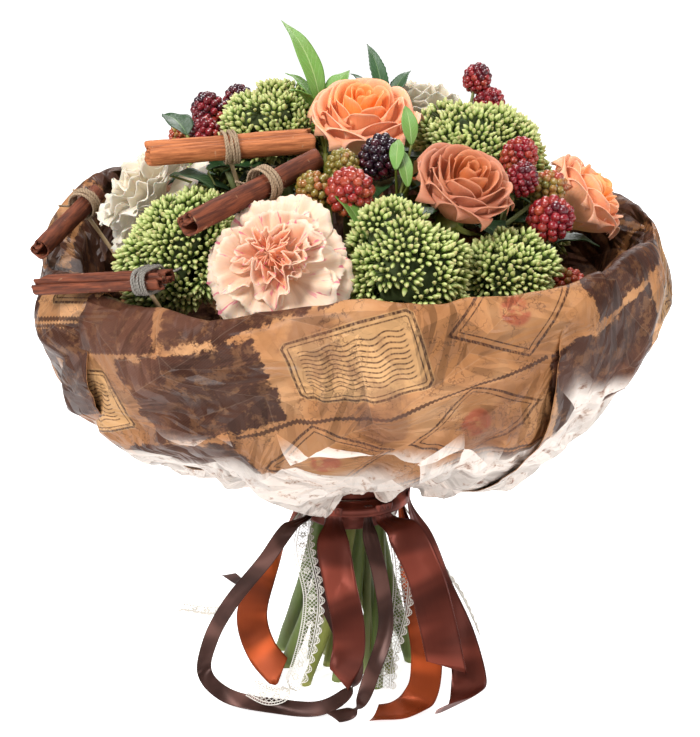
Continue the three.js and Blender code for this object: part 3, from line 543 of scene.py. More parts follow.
def effect(name: str, takes: dict[str, Any], gives: dict[str, str], build: Wiring) -> bpy.types.NodeTree:
    """Makes a shader node group once.

    Args:
        name: The group's name.
        takes: Its inputs by name, each with its default: a number or a colour.
        gives: Its outputs by name, each with its socket type after "NodeSocket".
        build: Wires the group's inside, from a shader and the inputs, and returns its outputs.

    Returns:
        The node group.
    """
    found = bpy.data.node_groups.get(name)
    if found:
        return found
    group = bpy.data.node_groups.new(name, "ShaderNodeTree")
    for key, default in takes.items():
        colour = isinstance(default, tuple)
        kind = "NodeSocketColor" if colour else "NodeSocketFloat"
        socket = group.interface.new_socket(key, in_out="INPUT", socket_type=kind)
        socket.default_value = (*default, 1.0) if colour else default
    for key, kind in gives.items():
        group.interface.new_socket(key, in_out="OUTPUT", socket_type="NodeSocket" + kind)
    inside = Shader(group)
    start = group.nodes.new("NodeGroupInput")
    end = group.nodes.new("NodeGroupOutput")
    for key, signal in build(inside, {key: Signal(inside, start.outputs[key]) for key in takes}).items():
        inside.feed(end.inputs[key], signal)
    return group


def mottle() -> bpy.types.NodeTree:
    """A group that varies a colour in clouds and specks, as every grown or worn surface varies."""

    def build(s: Shader, at: dict[str, Signal]) -> dict[str, Signal]:
        """Wires its inside."""
        cloud = s.noise(1.0, 4.0, s.node("VectorMath", {0: s.where(), 3: at["Scale"]}, operation="SCALE"))
        wide = cloud - 0.5
        varied = {"Hue": 0.5 + wide * at["Drift"], "Value": 1.0 + wide * at["Depth"], "Color": at["Color"]}
        return {"Color": s.node("HueSaturation", varied), "Mask": cloud}

    takes = {"Color": (0.8, 0.8, 0.8), "Scale": 60.0, "Depth": 0.5, "Drift": 0.04}
    return effect("mottle", takes, {"Color": "Color", "Mask": "Float"}, build)


def creases() -> bpy.types.NodeTree:
    """A group of fine paper folds: their height in mm, a mask of pale lines along the folds, partly wear and
    partly painted highlight, and a random tone for each facet, which the paper paints as light and shade.
    """

    def build(s: Shader, at: dict[str, Signal]) -> dict[str, Signal]:
        """Wires its inside."""
        x, y, height, worn = at["Across"], at["Along"], 0.0, 0.0
        sides: list[Signal] = []
        for turn, size, depth in FINE_FOLDS:
            c, t = math.cos(turn), math.sin(turn)
            along = x * c + y * t
            wave = along.take("PINGPONG", size)
            sides.append((along / size).take("FLOOR"))
            height = height + wave * (depth / size)
            x, y = x - wave * (FOLD_SHEAR * t), y + wave * (FOLD_SHEAR * c)
            # Pale lines along the creases: partly wear, partly painted highlight.
            if size > WEAR_AND_HIGHLIGHT_FOLD:
                worn = wave.step(0.4, 0.05) | worn
        tone = s.node("TexWhiteNoise", {"Vector": s.vector(*sides[:3])}, "Value", noise_dimensions="3D")
        return {"Height": height, "Crease": worn, "Facet": tone}

    gives = {"Height": "Float", "Crease": "Float", "Facet": "Float"}
    return effect("paper folds", {"Across": 0.0, "Along": 0.0}, gives, build)


def toned(colour: Colour, share: float) -> Colour:
    """Brightens or darkens a colour."""
    return tuple(min(1.0, c * share) for c in colour)


# ---------------------------------------------------------------- finishes
@dataclass(frozen=True)
class Finish:
    """A material by name. Each kind of finish says what its surface takes."""

    name: str

    def recipe(self, s: Shader) -> dict[str, Any]:
        """Wires what the surface takes: signals, numbers and colours by the names of its inputs."""
        raise NotImplementedError

    def material(self) -> Material:
        """Builds the material.

        Returns:
            The new material.
        """
        made = bpy.data.materials.new(self.name)
        made.use_nodes = True
        s = Shader(made.node_tree)
        skin = made.node_tree.nodes["Principled BSDF"]
        for key, value in self.recipe(s).items():
            s.feed(skin.inputs[key], value)
        return made


@dataclass(frozen=True)
class PetalFinish(Finish):
    """A petal: one colour at its root, one on its face and one at its edge, with veins along it."""

    root: Colour
    face: Colour
    edge: Colour
    heart: Colour
    fleck: Colour | None = None

    def recipe(self, s: Shader) -> dict[str, Any]:
        """Wires what the surface takes.

        Args:
            s: The material's shader.

        Returns:
            Signals and numbers by input name.
        """
        along, across, ring, tint = s.values("along", "across", "ring", "tint")
        colour = s.blend(ring.step(0.15, 0.75), self.heart, self.face)
        colour = s.blend(along.step(0.6, 0.05), colour, self.root)
        rim = along.step(0.82, 1.0) | abs(across).step(0.7, 1.0) * 0.7
        colour = s.blend(rim * (0.2 + ring * 0.35), colour, self.edge)
        vein = s.noise(1.0, 4.0, s.vector(across * 14.0, along * 1.6, tint))
        colour = s.blend(vein.step(0.45, 0.75) * 0.3, colour, self.root)
        if self.fleck:
            spot = s.noise(1.0, 3.0, s.vector(across * 7.0, along * 2.2, tint * 37.0)).step(0.6, 0.66)
            colour = s.blend(spot * along.step(0.5, 0.85) * 0.7, colour, self.fleck)
        varied = s.group(mottle(), Color=colour, Scale=45.0, Depth=0.28, Drift=0.02)
        # The petals give off a painted glow, in place of light coming through them.
        return {"Base Color": varied["Color"], "Emission Color": varied["Color"],
                "Emission Strength": THROUGH_LIGHT, "Roughness": 0.48 + vein * 0.2,
                "Normal": s.bump(vein, 0.0006, 0.5), "Specular IOR Level": 0.16, "Subsurface Weight": 0.25,
                "Subsurface Radius": (0.004, 0.002, 0.001)}


@dataclass(frozen=True)
class BudFinish(Finish):
    """A waxy bud, greener and darker at its foot, partly its own colour and partly painted shade between the
    buds, and paler or pinker at its tip.
    """

    foot: Colour
    side: Colour
    tip: Colour
    blush: Colour

    def recipe(self, s: Shader) -> dict[str, Any]:
        """Wires what the surface takes.

        Args:
            s: The material's shader.

        Returns:
            Signals and numbers by input name.
        """
        along, tint = s.values("along", "tint")
        # The dark foot is partly the bud's own green and partly painted shade down between the buds.
        colour = s.ramp(along, (0.0, self.foot), (0.3, self.side), (0.75, self.tip), (1.0, self.tip))
        colour = s.blend(along.step(0.55, 0.95) * tint.step(0.55, 1.0) * 0.7, colour, self.blush)
        varied = s.group(mottle(), Color=colour, Scale=38.0, Depth=0.55, Drift=0.05)
        return {"Base Color": varied["Color"], "Roughness": 0.34 + varied["Mask"] * 0.2,
                "Normal": s.bump(s.noise(900.0, 2.0), 0.0003, 0.4), "Subsurface Weight": 0.1,
                "Subsurface Radius": (0.001, 0.002, 0.0006)}


@dataclass(frozen=True)
class BerryFinish(Finish):
    """Glossy drupelets that ripen from green through red to black, with painted shade in the grooves between
    them.
    """

    groove: Colour = (0.02, 0.006, 0.006)
    ripening: tuple[tuple[float, Colour], ...] = (
        (0.0, (0.16, 0.17, 0.03)), (0.22, (0.3, 0.2, 0.04)), (0.4, (0.42, 0.07, 0.03)),
        (0.62, (0.3, 0.012, 0.02)), (0.82, (0.09, 0.006, 0.014)), (1.0, (0.018, 0.006, 0.014)))

    def recipe(self, s: Shader) -> dict[str, Any]:
        """Wires what the surface takes.

        Args:
            s: The material's shader.

        Returns:
            Signals and numbers by input name.
        """
        ripe, along = s.values("ripe", "along")
        colour = s.ramp(ripe + (s.noise(120.0, 2.0) - 0.5) * 0.35, *self.ripening)
        # Painted shade: the inner half of each drupelet, the core and the hairs darken towards the groove
        # colour.
        return {"Base Color": s.blend(along.step(0.5, 0.0) * 0.55, colour, self.groove),
                "Roughness": 0.14 + s.noise(300.0, 2.0) * 0.16,
                "Normal": s.bump(s.noise(500.0, 2.0), 0.0004, 0.35),
                "Coat Weight": 0.4, "Coat Roughness": 0.12, "Subsurface Weight": 0.15,
                "Subsurface Radius": (0.003, 0.0008, 0.0006)}


@dataclass(frozen=True)
class LeafFinish(Finish):
    """A leaf with a pale midrib and side veins."""

    face: Colour
    vein: Colour
    gloss: float = 0.35

    def recipe(self, s: Shader) -> dict[str, Any]:
        """Wires what the surface takes.

        Args:
            s: The material's shader.

        Returns:
            Signals and numbers by input name.
        """
        along, across, tint = s.values("along", "across", "tint")
        side = abs(across)
        slant = along * 11.0 - side * 2.2
        veins = abs(slant.take("FRACT") - 0.5).step(0.09, 0.02) * side.step(1.0, 0.6)
        mask = side.step(0.1, 0.03) | veins * 0.45
        shade = s.blend(tint.step(0.0, 1.0), self.face, toned(self.face, 0.55))
        varied = s.group(mottle(), Color=shade, Scale=70.0, Depth=0.5, Drift=0.05)
        height = mask * -0.6 + s.noise(650.0, 2.0) * 0.35
        return {"Base Color": s.blend(mask * 0.6, varied["Color"], self.vein),
                "Roughness": self.gloss + varied["Mask"] * 0.25, "Normal": s.bump(height, 0.0008, 0.5)}


@dataclass(frozen=True)
class StemFinish(Finish):
    """A green stem with fine lengthwise streaks, paler where it is cut, and darkened with painted shade deep
    in a head.
    """

    skin: Colour
    pale: Colour
    shaded: Colour = (0.026, 0.038, 0.008)

    def recipe(self, s: Shader) -> dict[str, Any]:
        """Wires what the surface takes.

        Args:
            s: The material's shader.

        Returns:
            Signals and numbers by input name.
        """
        along, tint, deep = s.values("along", "tint", "deep")
        stretched = s.node("VectorMath", {0: s.where(), 1: (900.0, 900.0, 40.0)}, operation="MULTIPLY")
        streak = s.noise(1.0, 3.0, stretched)
        colour = s.blend(streak * (0.25 + tint * 0.4), self.skin, self.pale)
        colour = s.blend(along.step(0.012, 0.004), colour, self.pale)
        # Painted shade: deep in a head the colour darkens towards the shaded green.
        colour = s.blend(deep, colour, self.shaded)
        varied = s.group(mottle(), Color=colour, Scale=30.0, Depth=0.5, Drift=0.05)
        return {"Base Color": varied["Color"], "Roughness": 0.38 + (streak * 0.2 | deep * 0.6),
                "Normal": s.bump(streak, 0.0006, 0.4)}


@dataclass(frozen=True)
class BarkFinish(Finish):
    """Rolled bark: long grain, dark blotches and pale scars across it."""

    light: Colour
    dark: Colour
    scar: Colour = (0.5, 0.32, 0.18)

    def recipe(self, s: Shader) -> dict[str, Any]:
        """Wires what the surface takes.

        Args:
            s: The material's shader.

        Returns:
            Signals and numbers by input name.
        """
        along, across, tint = s.values("along", "across", "tint")
        grain = s.noise(1.0, 6.0, s.vector(along * 4.0, across * 15.0, tint), 0.7)
        blotch = s.noise(70.0, 4.0)
        colour = s.blend(grain.step(0.36, 0.66), self.dark, self.light)
        colour = s.blend(blotch.step(0.5, 0.7) * (tint * 0.8), colour, self.dark)
        scarred = s.noise(1.0, 1.0, s.vector(along * 26.0, across * 5.0, tint)).step(0.7, 0.76)
        return {"Base Color": s.blend(scarred * 0.45, colour, self.scar), "Roughness": 0.55 + grain * 0.25,
                "Normal": s.bump(grain + blotch * 0.7, 0.001, 0.35), "Specular IOR Level": 0.22}


@dataclass(frozen=True)
class FibreFinish(Finish):
    """Natural twine with fine fibres that follow its plies, and painted shade in the grooves between them."""

    light: Colour
    dark: Colour

    def recipe(self, s: Shader) -> dict[str, Any]:
        """Wires what the surface takes.

        Args:
            s: The material's shader.

        Returns:
            Signals and numbers by input name.
        """
        [groove] = s.values("groove")
        fibre = s.noise(2600.0, 3.0, roughness=0.7)
        colour = s.blend(fibre.step(0.3, 0.7), self.dark, self.light)
        colour = s.blend(s.noise(220.0, 2.0) * 0.4, colour, self.dark)
        # Painted shade in the grooves between the plies.
        colour = s.blend(groove * 0.75, colour, toned(self.dark, 0.35))
        return {"Base Color": colour, "Roughness": 0.85, "Normal": s.bump(fibre, 0.0005, 0.8)}


@dataclass(frozen=True)
class RibbonFinish(Finish):
    """Woven ribbon: a fine weave, a gloss along its length with painted sheen, painted highlights and painted
    shade in bands, and a denser edge.
    """

    colour: Colour
    edge: Colour
    roughness: float
    rib: float = 0.0
    gleam: float = 2.7  # how much brighter it is where it catches the light

    def recipe(self, s: Shader) -> dict[str, Any]:
        """Wires what the surface takes.

        Args:
            s: The material's shader.

        Returns:
            Signals, numbers and a colour by input name.
        """
        along, across = s.values("along", "across")
        woven = {"Vector": s.vector(along), "Scale": 0.6, "Distortion": 0.3}
        thread = s.node("TexWave", woven, "Fac", wave_type="BANDS")
        shimmer = s.noise(1.0, 3.0, s.vector(along * 0.05, across * 9.0))
        fall = s.noise(1.0, 1.0, s.vector(along * 0.034, across * 0.14))
        selvedge = abs(across).step(0.88, 0.95)
        # Painted light: a sheen in fine streaks, then broad bands of painted highlight and painted shade along
        # the length.
        colour = s.blend(shimmer * 0.3, self.colour, toned(self.colour, 1.6))
        colour = s.blend(fall.step(0.5, 0.66), colour, toned(self.colour, self.gleam))
        colour = s.blend(fall.step(0.48, 0.34) * 0.7, colour, toned(self.colour, 0.3))
        return {"Base Color": s.blend(selvedge * 0.6, colour, self.edge),
                "Roughness": self.roughness + shimmer * 0.12,
                "Normal": s.bump(thread * self.rib + selvedge * 0.5, 0.0004, 0.5),
                "Metallic": 0.35, "Anisotropic": 0.6,
                "Specular Tint": tuple(min(1.0, 0.35 + 2.2 * c) for c in self.colour)}


@dataclass(frozen=True)
class LaceFinish(Finish):
    """Cotton lace thread."""

    colour: Colour
    shade: Colour = (0.52, 0.47, 0.4)

    def recipe(self, s: Shader) -> dict[str, Any]:
        """Wires what the surface takes.

        Args:
            s: The material's shader.

        Returns:
            Signals and numbers by input name.
        """
        thread = s.noise(1500.0, 3.0)
        varied = s.group(mottle(), Color=self.colour, Scale=90.0, Depth=0.22, Drift=0.01)
        return {"Base Color": s.blend(thread * 0.35, varied["Color"], self.shade), "Roughness": 0.8,
                "Normal": s.bump(thread, 0.0005, 0.8)}


@dataclass(frozen=True)
class PaperFinish(Finish):
    """Crumpled wrapping paper with an all-over print of dark panels, pale frames and thin serrated bars."""

    plain: bool = False
    wide: float = 78.0
    tall: float = 56.0
    ink: Colour = (0.042, 0.013, 0.009)
    cream: Colour = (0.66, 0.4, 0.18)
    rust: Colour = (0.36, 0.07, 0.035)
    stain: Colour = (0.13, 0.05, 0.03)
    kraft: tuple[tuple[float, Colour], ...] = (
        (0.25, (0.25, 0.095, 0.032)), (0.5, (0.42, 0.19, 0.075)), (0.75, (0.58, 0.32, 0.155)))
    # Painted glare on the hem's facets, from grey to white.
    painted_glare: tuple[tuple[float, Colour], ...] = (
        (0.36, (0.26, 0.15, 0.12)), (0.41, (0.6, 0.46, 0.38)), (0.46, (0.82, 0.74, 0.68)))
    dark_share: float = 0.5  # a panel is dark below this, a label up to the next, and a diamond above it
    label_share: float = 0.82

    def recipe(self, s: Shader) -> dict[str, Any]:
        """Wires what the surface takes: the print on the face, or bare kraft for the reverse.

        Args:
            s: The material's shader.

        Returns:
            Signals and numbers by input name.
        """
        arc, sec = s.values("arc", "sec")
        fibre = s.noise(1100.0, 4.0, roughness=0.7)
        folds = s.group(creases(), Across=arc, Along=sec)
        bare = s.ramp(s.noise(22.0, 4.0), *self.kraft)
        colour = bare if self.plain else self.printed(s, bare, arc, sec, folds["Facet"])
        colour = s.blend(fibre * 0.12, colour, (0.2, 0.1, 0.05))
        # Pale crease lines, partly wear and partly painted highlight.
        colour = s.blend(folds["Crease"] * 0.06, colour, (0.74, 0.56, 0.4))
        # Painted light and shade: each facet between the folds is brightened or darkened by its own tone.
        tone = 0.78 + folds["Facet"] * 0.4
        return {"Base Color": s.node("HueSaturation", {"Value": tone, "Color": colour}),
                "Roughness": 0.3 + folds["Facet"] * 0.25,
                "Normal": s.bump(folds["Height"] + fibre * 0.06, 0.001, 1.0), "Specular IOR Level": 0.14,
                "Coat Weight": 0.05, "Coat Roughness": 0.2}

    def printed(self, s: Shader, bare: Signal, arc: Signal, sec: Signal, facet: Signal) -> Signal:
        """Lays the print out in a slanting brick pattern of panels.

        Args:
            s: The material's shader.
            bare: The bare paper's colour.
            arc, sec: The place round the collar and along its section, in mm.
            facet: A tone from 0 to 1 for each facet between the folds.

        Returns:
            The printed paper's colour.
        """
        east, north = arc * 0.97 + sec * -0.24 + 24.0, arc * 0.24 + sec * 0.97
        y = north / self.tall
        row = y.take("FLOOR")
        x = east / self.wide + row * 0.37
        pick = ((x.take("FLOOR") * 2.9 + row + 1.9).take("SINE") * 9.1).take("FRACT")
        other = (pick * 7.31).take("FRACT")
        right, above = (x.take("FRACT") - 0.5) * self.wide, (y.take("FRACT") - 0.5) * self.tall
        across, up = abs(right), abs(above)
        far = (right * right + above * above).take("SQRT")
        place = s.vector(east * 0.1, north * 0.1)
        grain, fine = s.noise(1.0, 8.0, place, 0.72), s.noise(1.0, 4.0, s.vector(east, north * 0.35))
        # Dark panels, hatched and mottled like old engravings.
        border = (across - (self.wide / 2 - 2)) | (up - (self.tall / 2 - 2))
        panel = (border + (grain - 0.5) * 22.0).step(1.0, -0.6) * (pick < self.dark_share)
        hatch = (east + north * 1.7).take("PINGPONG", 1.1)
        tone = s.math("ADD", grain.step(0.57, 0.5), fine.step(0.55, 0.35) * 0.3, clamp=True)
        tone = tone * (0.8 + hatch.step(0.4, 0.9) * 0.2)
        colour = s.blend(panel * (0.76 + tone * 0.24), bare, self.ink)
        # Pale labels in a double frame with cut corners, with plain rules or rings in them.
        label = (pick > self.dark_share) * (pick < self.label_share)
        edge = (across - self.wide * 0.4) | (up - self.tall * 0.34)
        edge = edge | ((across + up) * 0.707 - self.wide * 0.43)
        colour = s.blend(label * edge.step(0.6, -0.6) * 0.55, colour, self.cream)
        worn = 0.35 + fine.step(0.7, 0.4) * 0.6
        frames = edge.stroke(-1.0, 1.1) | edge.stroke(-3.4, 0.4)
        rings = far.stroke(10.5, 0.7) | far.stroke(8.4, 0.35)
        wave = above + (right * 0.5).take("SINE") * 0.8
        rules = wave.take("PINGPONG", 2.4).stroke(1.2, 0.45) * edge.step(-6.5, -7.5)
        drawn = frames | (rings * (other > 0.5) | rules * (other < 0.5))
        colour = s.blend(drawn * label * worn, colour, self.ink)
        # Diamonds in a double line round a red blot.
        lozenge, diamond = pick > self.label_share, across / 1.45 + up
        lines = diamond.stroke(24.0, 1.5) | diamond.stroke(20.5, 0.6)
        colour = s.blend(lines * lozenge * worn, colour, self.ink)
        colour = s.blend(far.step(9.0, 6.5) * lozenge * grain.step(0.62, 0.48) * 0.8, colour, self.rust)
        # Serrated bars between the rows, fine tracery in patches, and a stain over everything.
        bar = (self.tall / 2 - up + east.take("PINGPONG", 1.1) * 0.8).stroke(2.2, 1.9)
        colour = s.blend(bar * (other > 0.45) * 0.85, colour, self.ink)
        vein = abs(s.noise(2.1, 2.0, place) - 0.5)
        tracery = vein.step(0.028, 0.012) * s.noise(0.4, 2.0, place).step(0.48, 0.55)
        colour = s.blend(tracery * worn * 0.6, colour, self.ink)
        colour = s.blend(s.noise(14.0, 7.0, roughness=0.62).step(0.53, 0.6) * 0.5, colour, self.stain)
        # The outer flap pales towards its hem with painted glare: patches of white and grey on its facets.
        hem = sec.step(285.0, 372.0) + (s.noise(9.0, 2.0) - 0.5) * 0.9
        hem = hem + abs(arc + 95.0).step(78.0, 30.0) * sec.step(262.0, 320.0) * 0.42
        pale = (facet * 0.46 + hem * 0.92).step(0.62, 0.85)
        return s.blend(pale * 0.84, colour, s.ramp(grain, *self.painted_glare))


@dataclass(frozen=True)
class FloorFinish(Finish):
    """A pale floor that the camera sees brighter than it lights the bouquet."""

    def recipe(self, s: Shader) -> dict[str, Any]:
        """Wires what the surface takes.

        Args:
            s: The material's shader.

        Returns:
            Signals, numbers and a colour by input name.
        """
        seen = s.node("LightPath", output="Is Camera Ray")
        return {"Base Color": s.blend(s.noise(9.0, 3.0), (0.93, 0.93, 0.925), (0.96, 0.96, 0.955)),
                "Roughness": 0.75, "Emission Color": (1.0, 1.0, 1.0), "Emission Strength": 0.42 + seen * 0.42}


# ---------------------------------------------------------------- shared growing parts
def spindles(roots: Array, axes: Array, lengths: Any, radii: Any, profile: Profile, sides: int) -> Array:
    """Builds many small turned shapes at once.

    Args:
        roots: Where each starts, shape (n, 3).
        axes: The way each points, shape (n, 3).
        lengths: Its length, one number or one for each.
        radii: Its greatest radius, in the same way.
        profile: Rows of place along it and share of its radius.
        sides: Points of a ring.

    Returns:
        Grids of shape (n, rows, sides, 3).
    """
    axes = unit(np.asarray(axes, float))
    side = unit(np.cross(axes, np.array([0.31, 0.52, 0.79])))
    over = np.cross(axes, side)
    along, wide = np.array(profile).T[:, None, :, None]
    phi = circle(sides)
    length = np.broadcast_to(lengths, len(roots))[:, None, None] * along
    radius = np.broadcast_to(radii, len(roots))[:, None, None] * wide
    cos, sin = (radius * np.cos(phi))[..., None], (radius * np.sin(phi))[..., None]
    middle = np.asarray(roots)[:, None, None, :] + length[..., None] * axes[:, None, None, :]
    return middle + cos * side[:, None, None, :] + sin * over[:, None, None, :]


def ball(rows: int, least: float) -> Profile:
    """The profile of a ball, whose ends keep a least share of its radius."""
    return [(0.5 - 0.5 * math.cos(a), max(least, math.sin(a))) for a in np.linspace(0, math.pi, rows)]


def steps(profile: Profile) -> Array:
    """How far along each row of a profile is, spread as the pool's values are."""
    return np.array([a for a, _ in profile])[None, :, None]


DRUPELET = ball(7, 0.02)
BERRY_CORE = ball(9, 0.05)
ROSE_HIP = ((0.0, 0.55), (0.3, 0.85), (0.6, 1.0), (1.0, 0.9))
CALYX = ((0.0, 0.5), (0.2, 0.8), (0.6, 1.0), (0.9, 1.0), (1.0, 0.9))
BUD = ((0.0, 0.35), (0.18, 0.8), (0.42, 1.0), (0.7, 0.78), (0.9, 0.36), (1.0, 0.06))
THREAD = ((0.0, 1.0), (1.0, 0.8))
HAIR = ((0.0, 1.0), (0.6, 0.6), (1.0, 0.1))


@dataclass
class Leaf:
    """A folded, drooping leaf with a toothed edge, in mm and degrees."""

    base: Array
    heading: float
    climb: float
    length: float
    width: float
    teeth: int = 0
    droop: float = 0.5
    fold: float = 0.25
    tint: float = 0.4
    wave: float = 0.0

    def grow(self, pool: Pool) -> None:
        """Adds the blade to a pool.

        Args:
            pool: The pool of the spray's blades.
        """
        w, u = patch(33, 13)
        half = (self.width / 2) * np.sin(np.pi * (0.03 + 0.97 * w) ** 0.8)
        if self.teeth:
            saw = np.mod(w * self.teeth, 1.0)
            half = half * (1 + (0.16 * saw - 0.05) * abs(u) ** 6 * smooth(1 - w, 0.0, 0.15))
        pitch = np.radians(self.climb) - self.droop * w
        out, side = polar(1, math.radians(self.heading)), polar(1, math.radians(self.heading + 90))
        ripple = self.wave * np.sin(w * 15 + self.length) * u**2
        rise = self.length * w * np.sin(pitch) + self.fold * half * abs(u) ** 1.4 + ripple
        reach = self.length * w * np.cos(pitch) + 0 * u
        grid = self.base + reach[..., None] * out + rise[..., None] * UP + (half * u)[..., None] * side
        pool.sheets(grid, along=w, across=u, tint=self.tint)


@dataclass
class Stem:
    """A stem or pick that follows the rings of its solid, with a flat cut end."""

    node: str
    end: Array
    radius: float
    tint: float = 0.3

    def grow(self, pool: Pool) -> None:
        """Adds the stem to a pool.

        Args:
            pool: The pool of the piece that it belongs to.
        """
        line = stem_line(self.node, self.end)
        run = np.linspace(0, 1, len(line))
        swell = 1 + 0.07 * np.cos(run * 37 + self.radius) ** 8
        grid = tube(line, self.radius * 0.97 * swell * mix(1.0, 0.84, run), 10)
        heading = unit(line[1] - line[0])
        grid[0] -= (grid[0][:, 2:] / heading[2]) * heading
        pool.sheets(grid, around=True, caps=True, along=run[:, None] * 0.8, tint=self.tint)


# ---------------------------------------------------------------- blooms
@dataclass
class Bloom:
    """A bloom of petals over a green cup, on a stem of its own."""

    name: str
    seat: Seat
    radius: float
    seed: int

    def cup(self, pool: Pool, rim: float, depth: float, wide: float, profile: Profile, tint: float) -> None:
        """Adds the cup that holds the petals.

        Args:
            pool: The green pool.
            rim, depth: The height of its rim over the head's middle and its depth, in mm.
            wide: Its greatest radius.
            profile: Rows of place along it and share of that radius.
            tint: Its tint.
        """
        root = self.seat.place(np.array([[0.0, 0.0, rim - depth]]))
        shape = spindles(root, self.seat.axis[None], depth, wide, profile, 16)
        pool.sheets(shape, around=True, caps=True, along=0.5, tint=tint)

    def stem(self, pool: Pool, kind: str, below: float, tint: float, finish: StemFinish) -> None:
        """Adds the stem and makes the green piece.

        Args:
            pool: The green pool.
            kind: The kind of the stem.
            below: How far under the head's middle it ends, as a share of the bloom's radius.
            tint: Its tint.
            finish: The green finish.
        """
        end = self.seat.at - below * self.radius * self.seat.axis
        Stem(f"{self.name}_stem", end, STEM_RADIUS[kind], tint).grow(pool)
        pool.piece(f"{self.name}_green", "green_stems", [f"{self.name}_stem"], finish.material())


@dataclass
class Rose(Bloom):
    """A garden rose: whorls of rolled petals over green sepals. Whorl sizes are shares of its radius."""

    whorls: tuple[tuple[float, ...], ...] = (
        # count, radius low, radius wide, height, roll of the rim, half the turn that a petal spans
        (3, 0.05, 0.13, 0.60, 0.00, 112), (3, 0.12, 0.22, 0.62, 0.01, 84), (3, 0.17, 0.33, 0.61, 0.03, 70),
        (4, 0.22, 0.44, 0.57, 0.06, 58), (5, 0.26, 0.56, 0.53, 0.09, 52), (5, 0.29, 0.67, 0.46, 0.12, 48),
        (5, 0.31, 0.77, 0.39, 0.15, 47), (5, 0.32, 0.86, 0.30, 0.15, 46))
    hip: float = 0.24  # the hip's radius
    hip_drop: float = 0.78  # how far the hip's rim lies under the head's middle

    def petals(self, finish: PetalFinish) -> None:
        """Builds the petals.

        Args:
            finish: Their finish.
        """
        pool, R = Pool(), self.radius
        rng = np.random.default_rng(self.seed)
        v, u = patch(19, 17)
        swell = np.sin(np.minimum(v * 1.25, 1) * np.pi / 2)
        lip = np.maximum(0, v - 0.72) / 0.28
        narrow = 0.35 + 0.65 * np.sin(np.minimum(1, v * 1.35) * np.pi / 2)
        for w, (count, low, wide, high, flare, half) in enumerate(self.whorls):
            for i in range(int(count)):
                jitter = rng.uniform(-1, 1, 6)
                turn = 2 * math.pi * (i + 0.37 * w + 0.1 * jitter[0]) / count
                roll = flare * (1 + 0.35 * jitter[1]) * lip**1.5 * (0.9 + 0.2 * u**2)
                wavy = 0.022 * flare / 0.15 * lip * np.sin(5 * u + 3 * jitter[2])
                radius = R * (mix(low, wide * (1 + 0.03 * jitter[3]), swell) + roll + wavy) * (1 + 0.07 * u)
                dent = 0.012 * np.sin(2.4 * u + 4 * jitter[4]) * np.sin(3.2 * v + jitter[5])
                angle = turn + u * math.radians(half) * narrow * (1 - 0.1 * lip - 0.3 * lip**2 * u**2)
                top = high + 0.035 * jitter[5]
                z = R * (mix(-0.55, top, v) - 0.3 * lip * abs(u)**2.6 - 0.04 * smooth(v, 0.3, 1) * u**2
                         - 0.12 * flare * lip - 0.06 * flare / 0.15 * lip**3)
                grid = self.seat.place(polar(np.maximum(radius + R * dent, 0.4), angle, z))
                pool.sheets(grid, along=v, across=u, ring=w / 7.0, tint=rng.uniform())
        pool.piece(f"{self.name}_bloom", "rose_petals", [f"{self.name}_petals"], finish.material(), thick=0.45)

    def green(self, finish: StemFinish) -> None:
        """Builds the sepals, the hip and the stem.

        Args:
            finish: Their finish.
        """
        pool, R = Pool(), self.radius
        rim = -self.hip_drop * R - 0.35
        self.cup(pool, rim, 0.22 * R, self.hip * R, ROSE_HIP, 0.2)
        v, u = patch(13, 7)
        for i in range(5):
            angle = 2 * math.pi * i / 5 + u * 0.5 * (1 - v) ** 1.3
            z = rim - (0.11 + 0.1 * np.sin(v * 2.6)) * R + 0.02 * R * u**2
            grid = self.seat.place(polar((self.hip * 0.5 + v * 0.62) * R, angle, z))
            pool.sheets(np.stack([grid, grid[:, ::-1] - 0.4 * self.seat.axis]), along=0.5, tint=0.4)
        self.stem(pool, "rose", 0.86, 0.2, finish)


